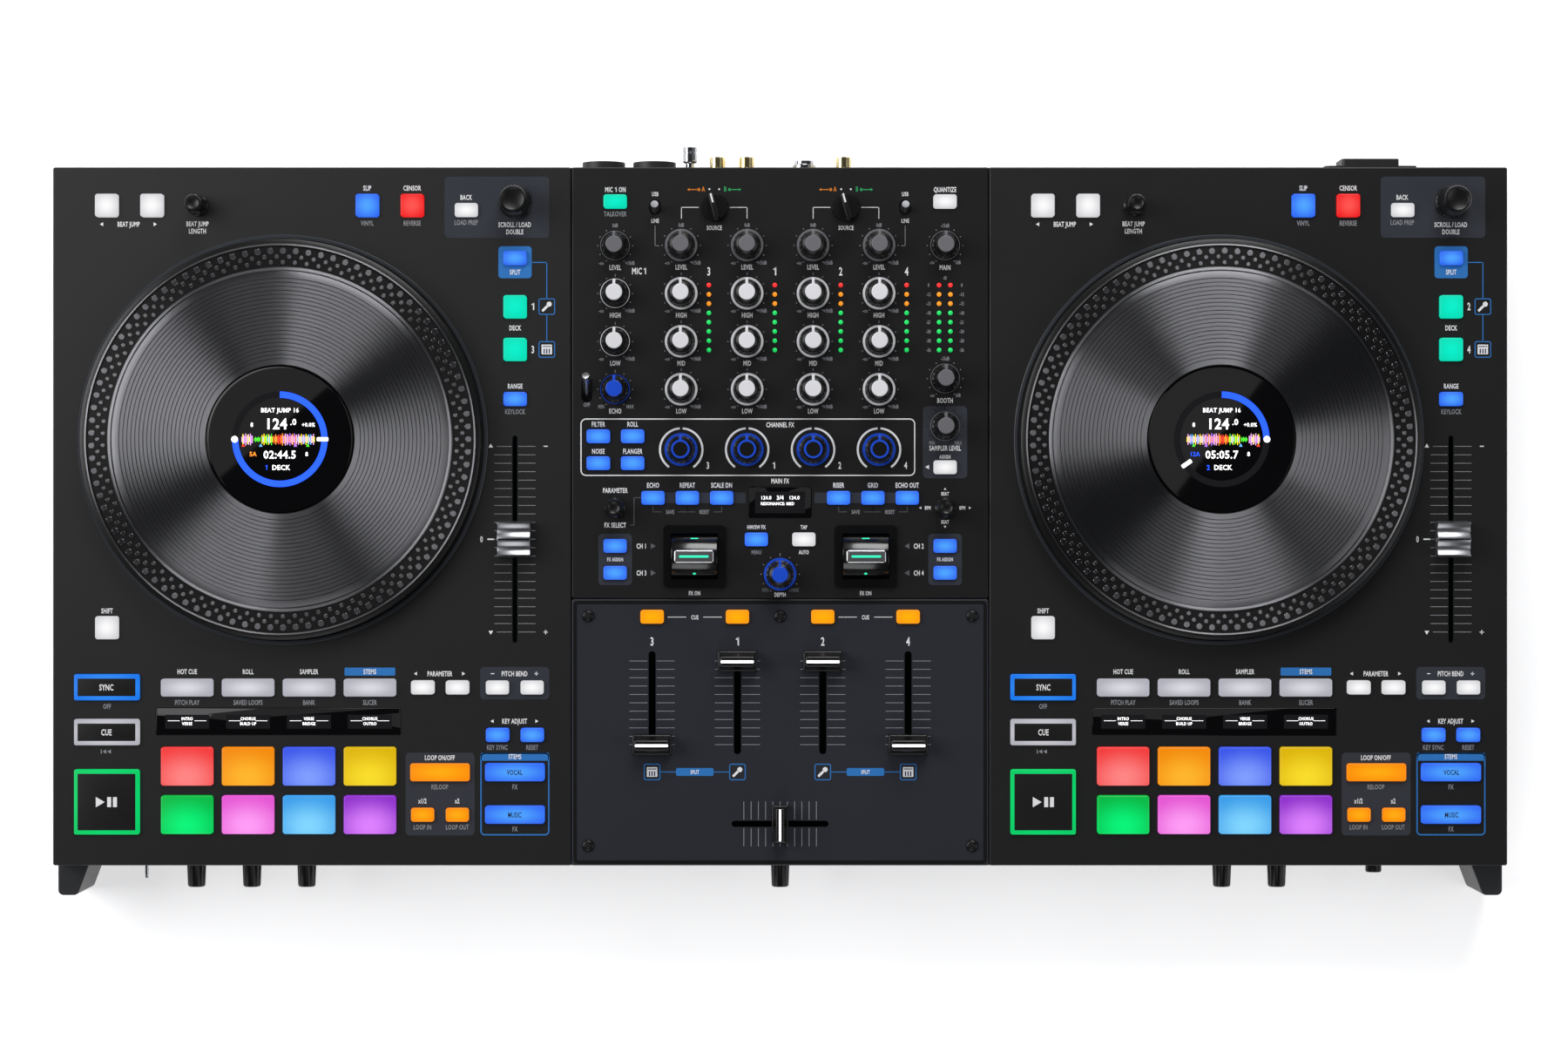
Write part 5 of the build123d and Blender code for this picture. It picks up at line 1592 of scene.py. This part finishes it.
# %% Lights
def panel_light(name, place, aim, size, power, turn=0.0):
    """A rectangular soft light at place, facing aim, in metres; turn swings one that faces straight down."""
    data = bpy.data.lights.new(name, "AREA")
    data.shape = "RECTANGLE"
    data.size, data.size_y = size
    data.energy = power
    lamp = bpy.data.objects.new(name, data)
    bpy.context.scene.collection.objects.link(lamp)
    lamp.location = place
    facing = (Vector(aim) - Vector(place)).to_track_quat("-Z", "Y")
    lamp.rotation_euler = (Matrix.Rotation(math.radians(turn), 3, "Z") @ facing.to_matrix()).to_euler()
    return lamp


cards = [
    panel_light("over_left", (-1.35, 0.85, 2.35), (-0.3, 0.1, 0.0), (1.3, 1.5), 12),
    panel_light("card_left", (-0.907, 0.486, 2.3), (-0.907, 0.486, 0.0), (1.0, 1.0), 1.3, 40),
    panel_light("card_right", (0.262, 0.276, 2.3), (0.262, 0.276, 0.0), (0.9, 0.6), 0.75, 53),
]
panel_light("low_left", (-2.2, 0.6, 1.5), (0, 0, 0), (1.9, 1.6), 50)
panel_light("low_right", (2.2, -0.6, 1.5), (0, 0, 0), (1.9, 1.6), 14)
panel_light("low_back", (0.3, 2.0, 1.45), (0, 0, 0), (1.5, 1.3), 44)
panel_light("low_front", (-0.3, -2.0, 1.45), (0, 0, 0), (1.5, 1.3), 12)

# %% What the cards shine on
# the overhead cards are for the flat glass and the painted tops, so the cut grooves keep their dark gaps
glossy_tops = bpy.data.collections.new("glossy_tops")
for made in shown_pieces():
    if made.name.endswith("_panel") or "glass" in made.name:
        glossy_tops.objects.link(made)
for card in cards:
    card.light_linking.receiver_collection = glossy_tops

# %% Surroundings
world = bpy.data.worlds.new("studio")
world.use_nodes = True
sky = world.node_tree.nodes["Background"]
sky.inputs["Color"].default_value = (0.9, 0.93, 1.0, 1)
sky.inputs["Strength"].default_value = 0.035
bpy.context.scene.world = world
bpy.context.scene.view_settings.view_transform = "Standard"

# %% [markdown]
# ## Camera
# The camera looks straight down on the middle of the controller. Its lens is worked out from how much it has
# to take in at the playing face, so that its height alone sets how far the tall knobs seem to lean outwards.

# %% Camera
camera_height = 1950.0      # above the playing face
view_width = 845.1          # what the picture spans at that face
sensor_width = 36.0
aim_x, aim_y = 2.1, -3.3
camera_data = bpy.data.cameras.new("camera")
camera_data.sensor_width = sensor_width
camera_data.lens = sensor_width * camera_height / view_width
camera = bpy.data.objects.new("camera", camera_data)
bpy.context.scene.collection.objects.link(camera)
camera.location = Vector((aim_x, body_y + aim_y, face + camera_height)) * mm
bpy.context.scene.camera = camera
print("lens", round(camera_data.lens, 1), "mm")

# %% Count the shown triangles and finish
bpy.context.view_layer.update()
triangles = sum(len(p.vertices) - 2 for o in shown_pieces() if o.type == "MESH" for p in o.data.polygons)
print("triangles shown:", triangles)
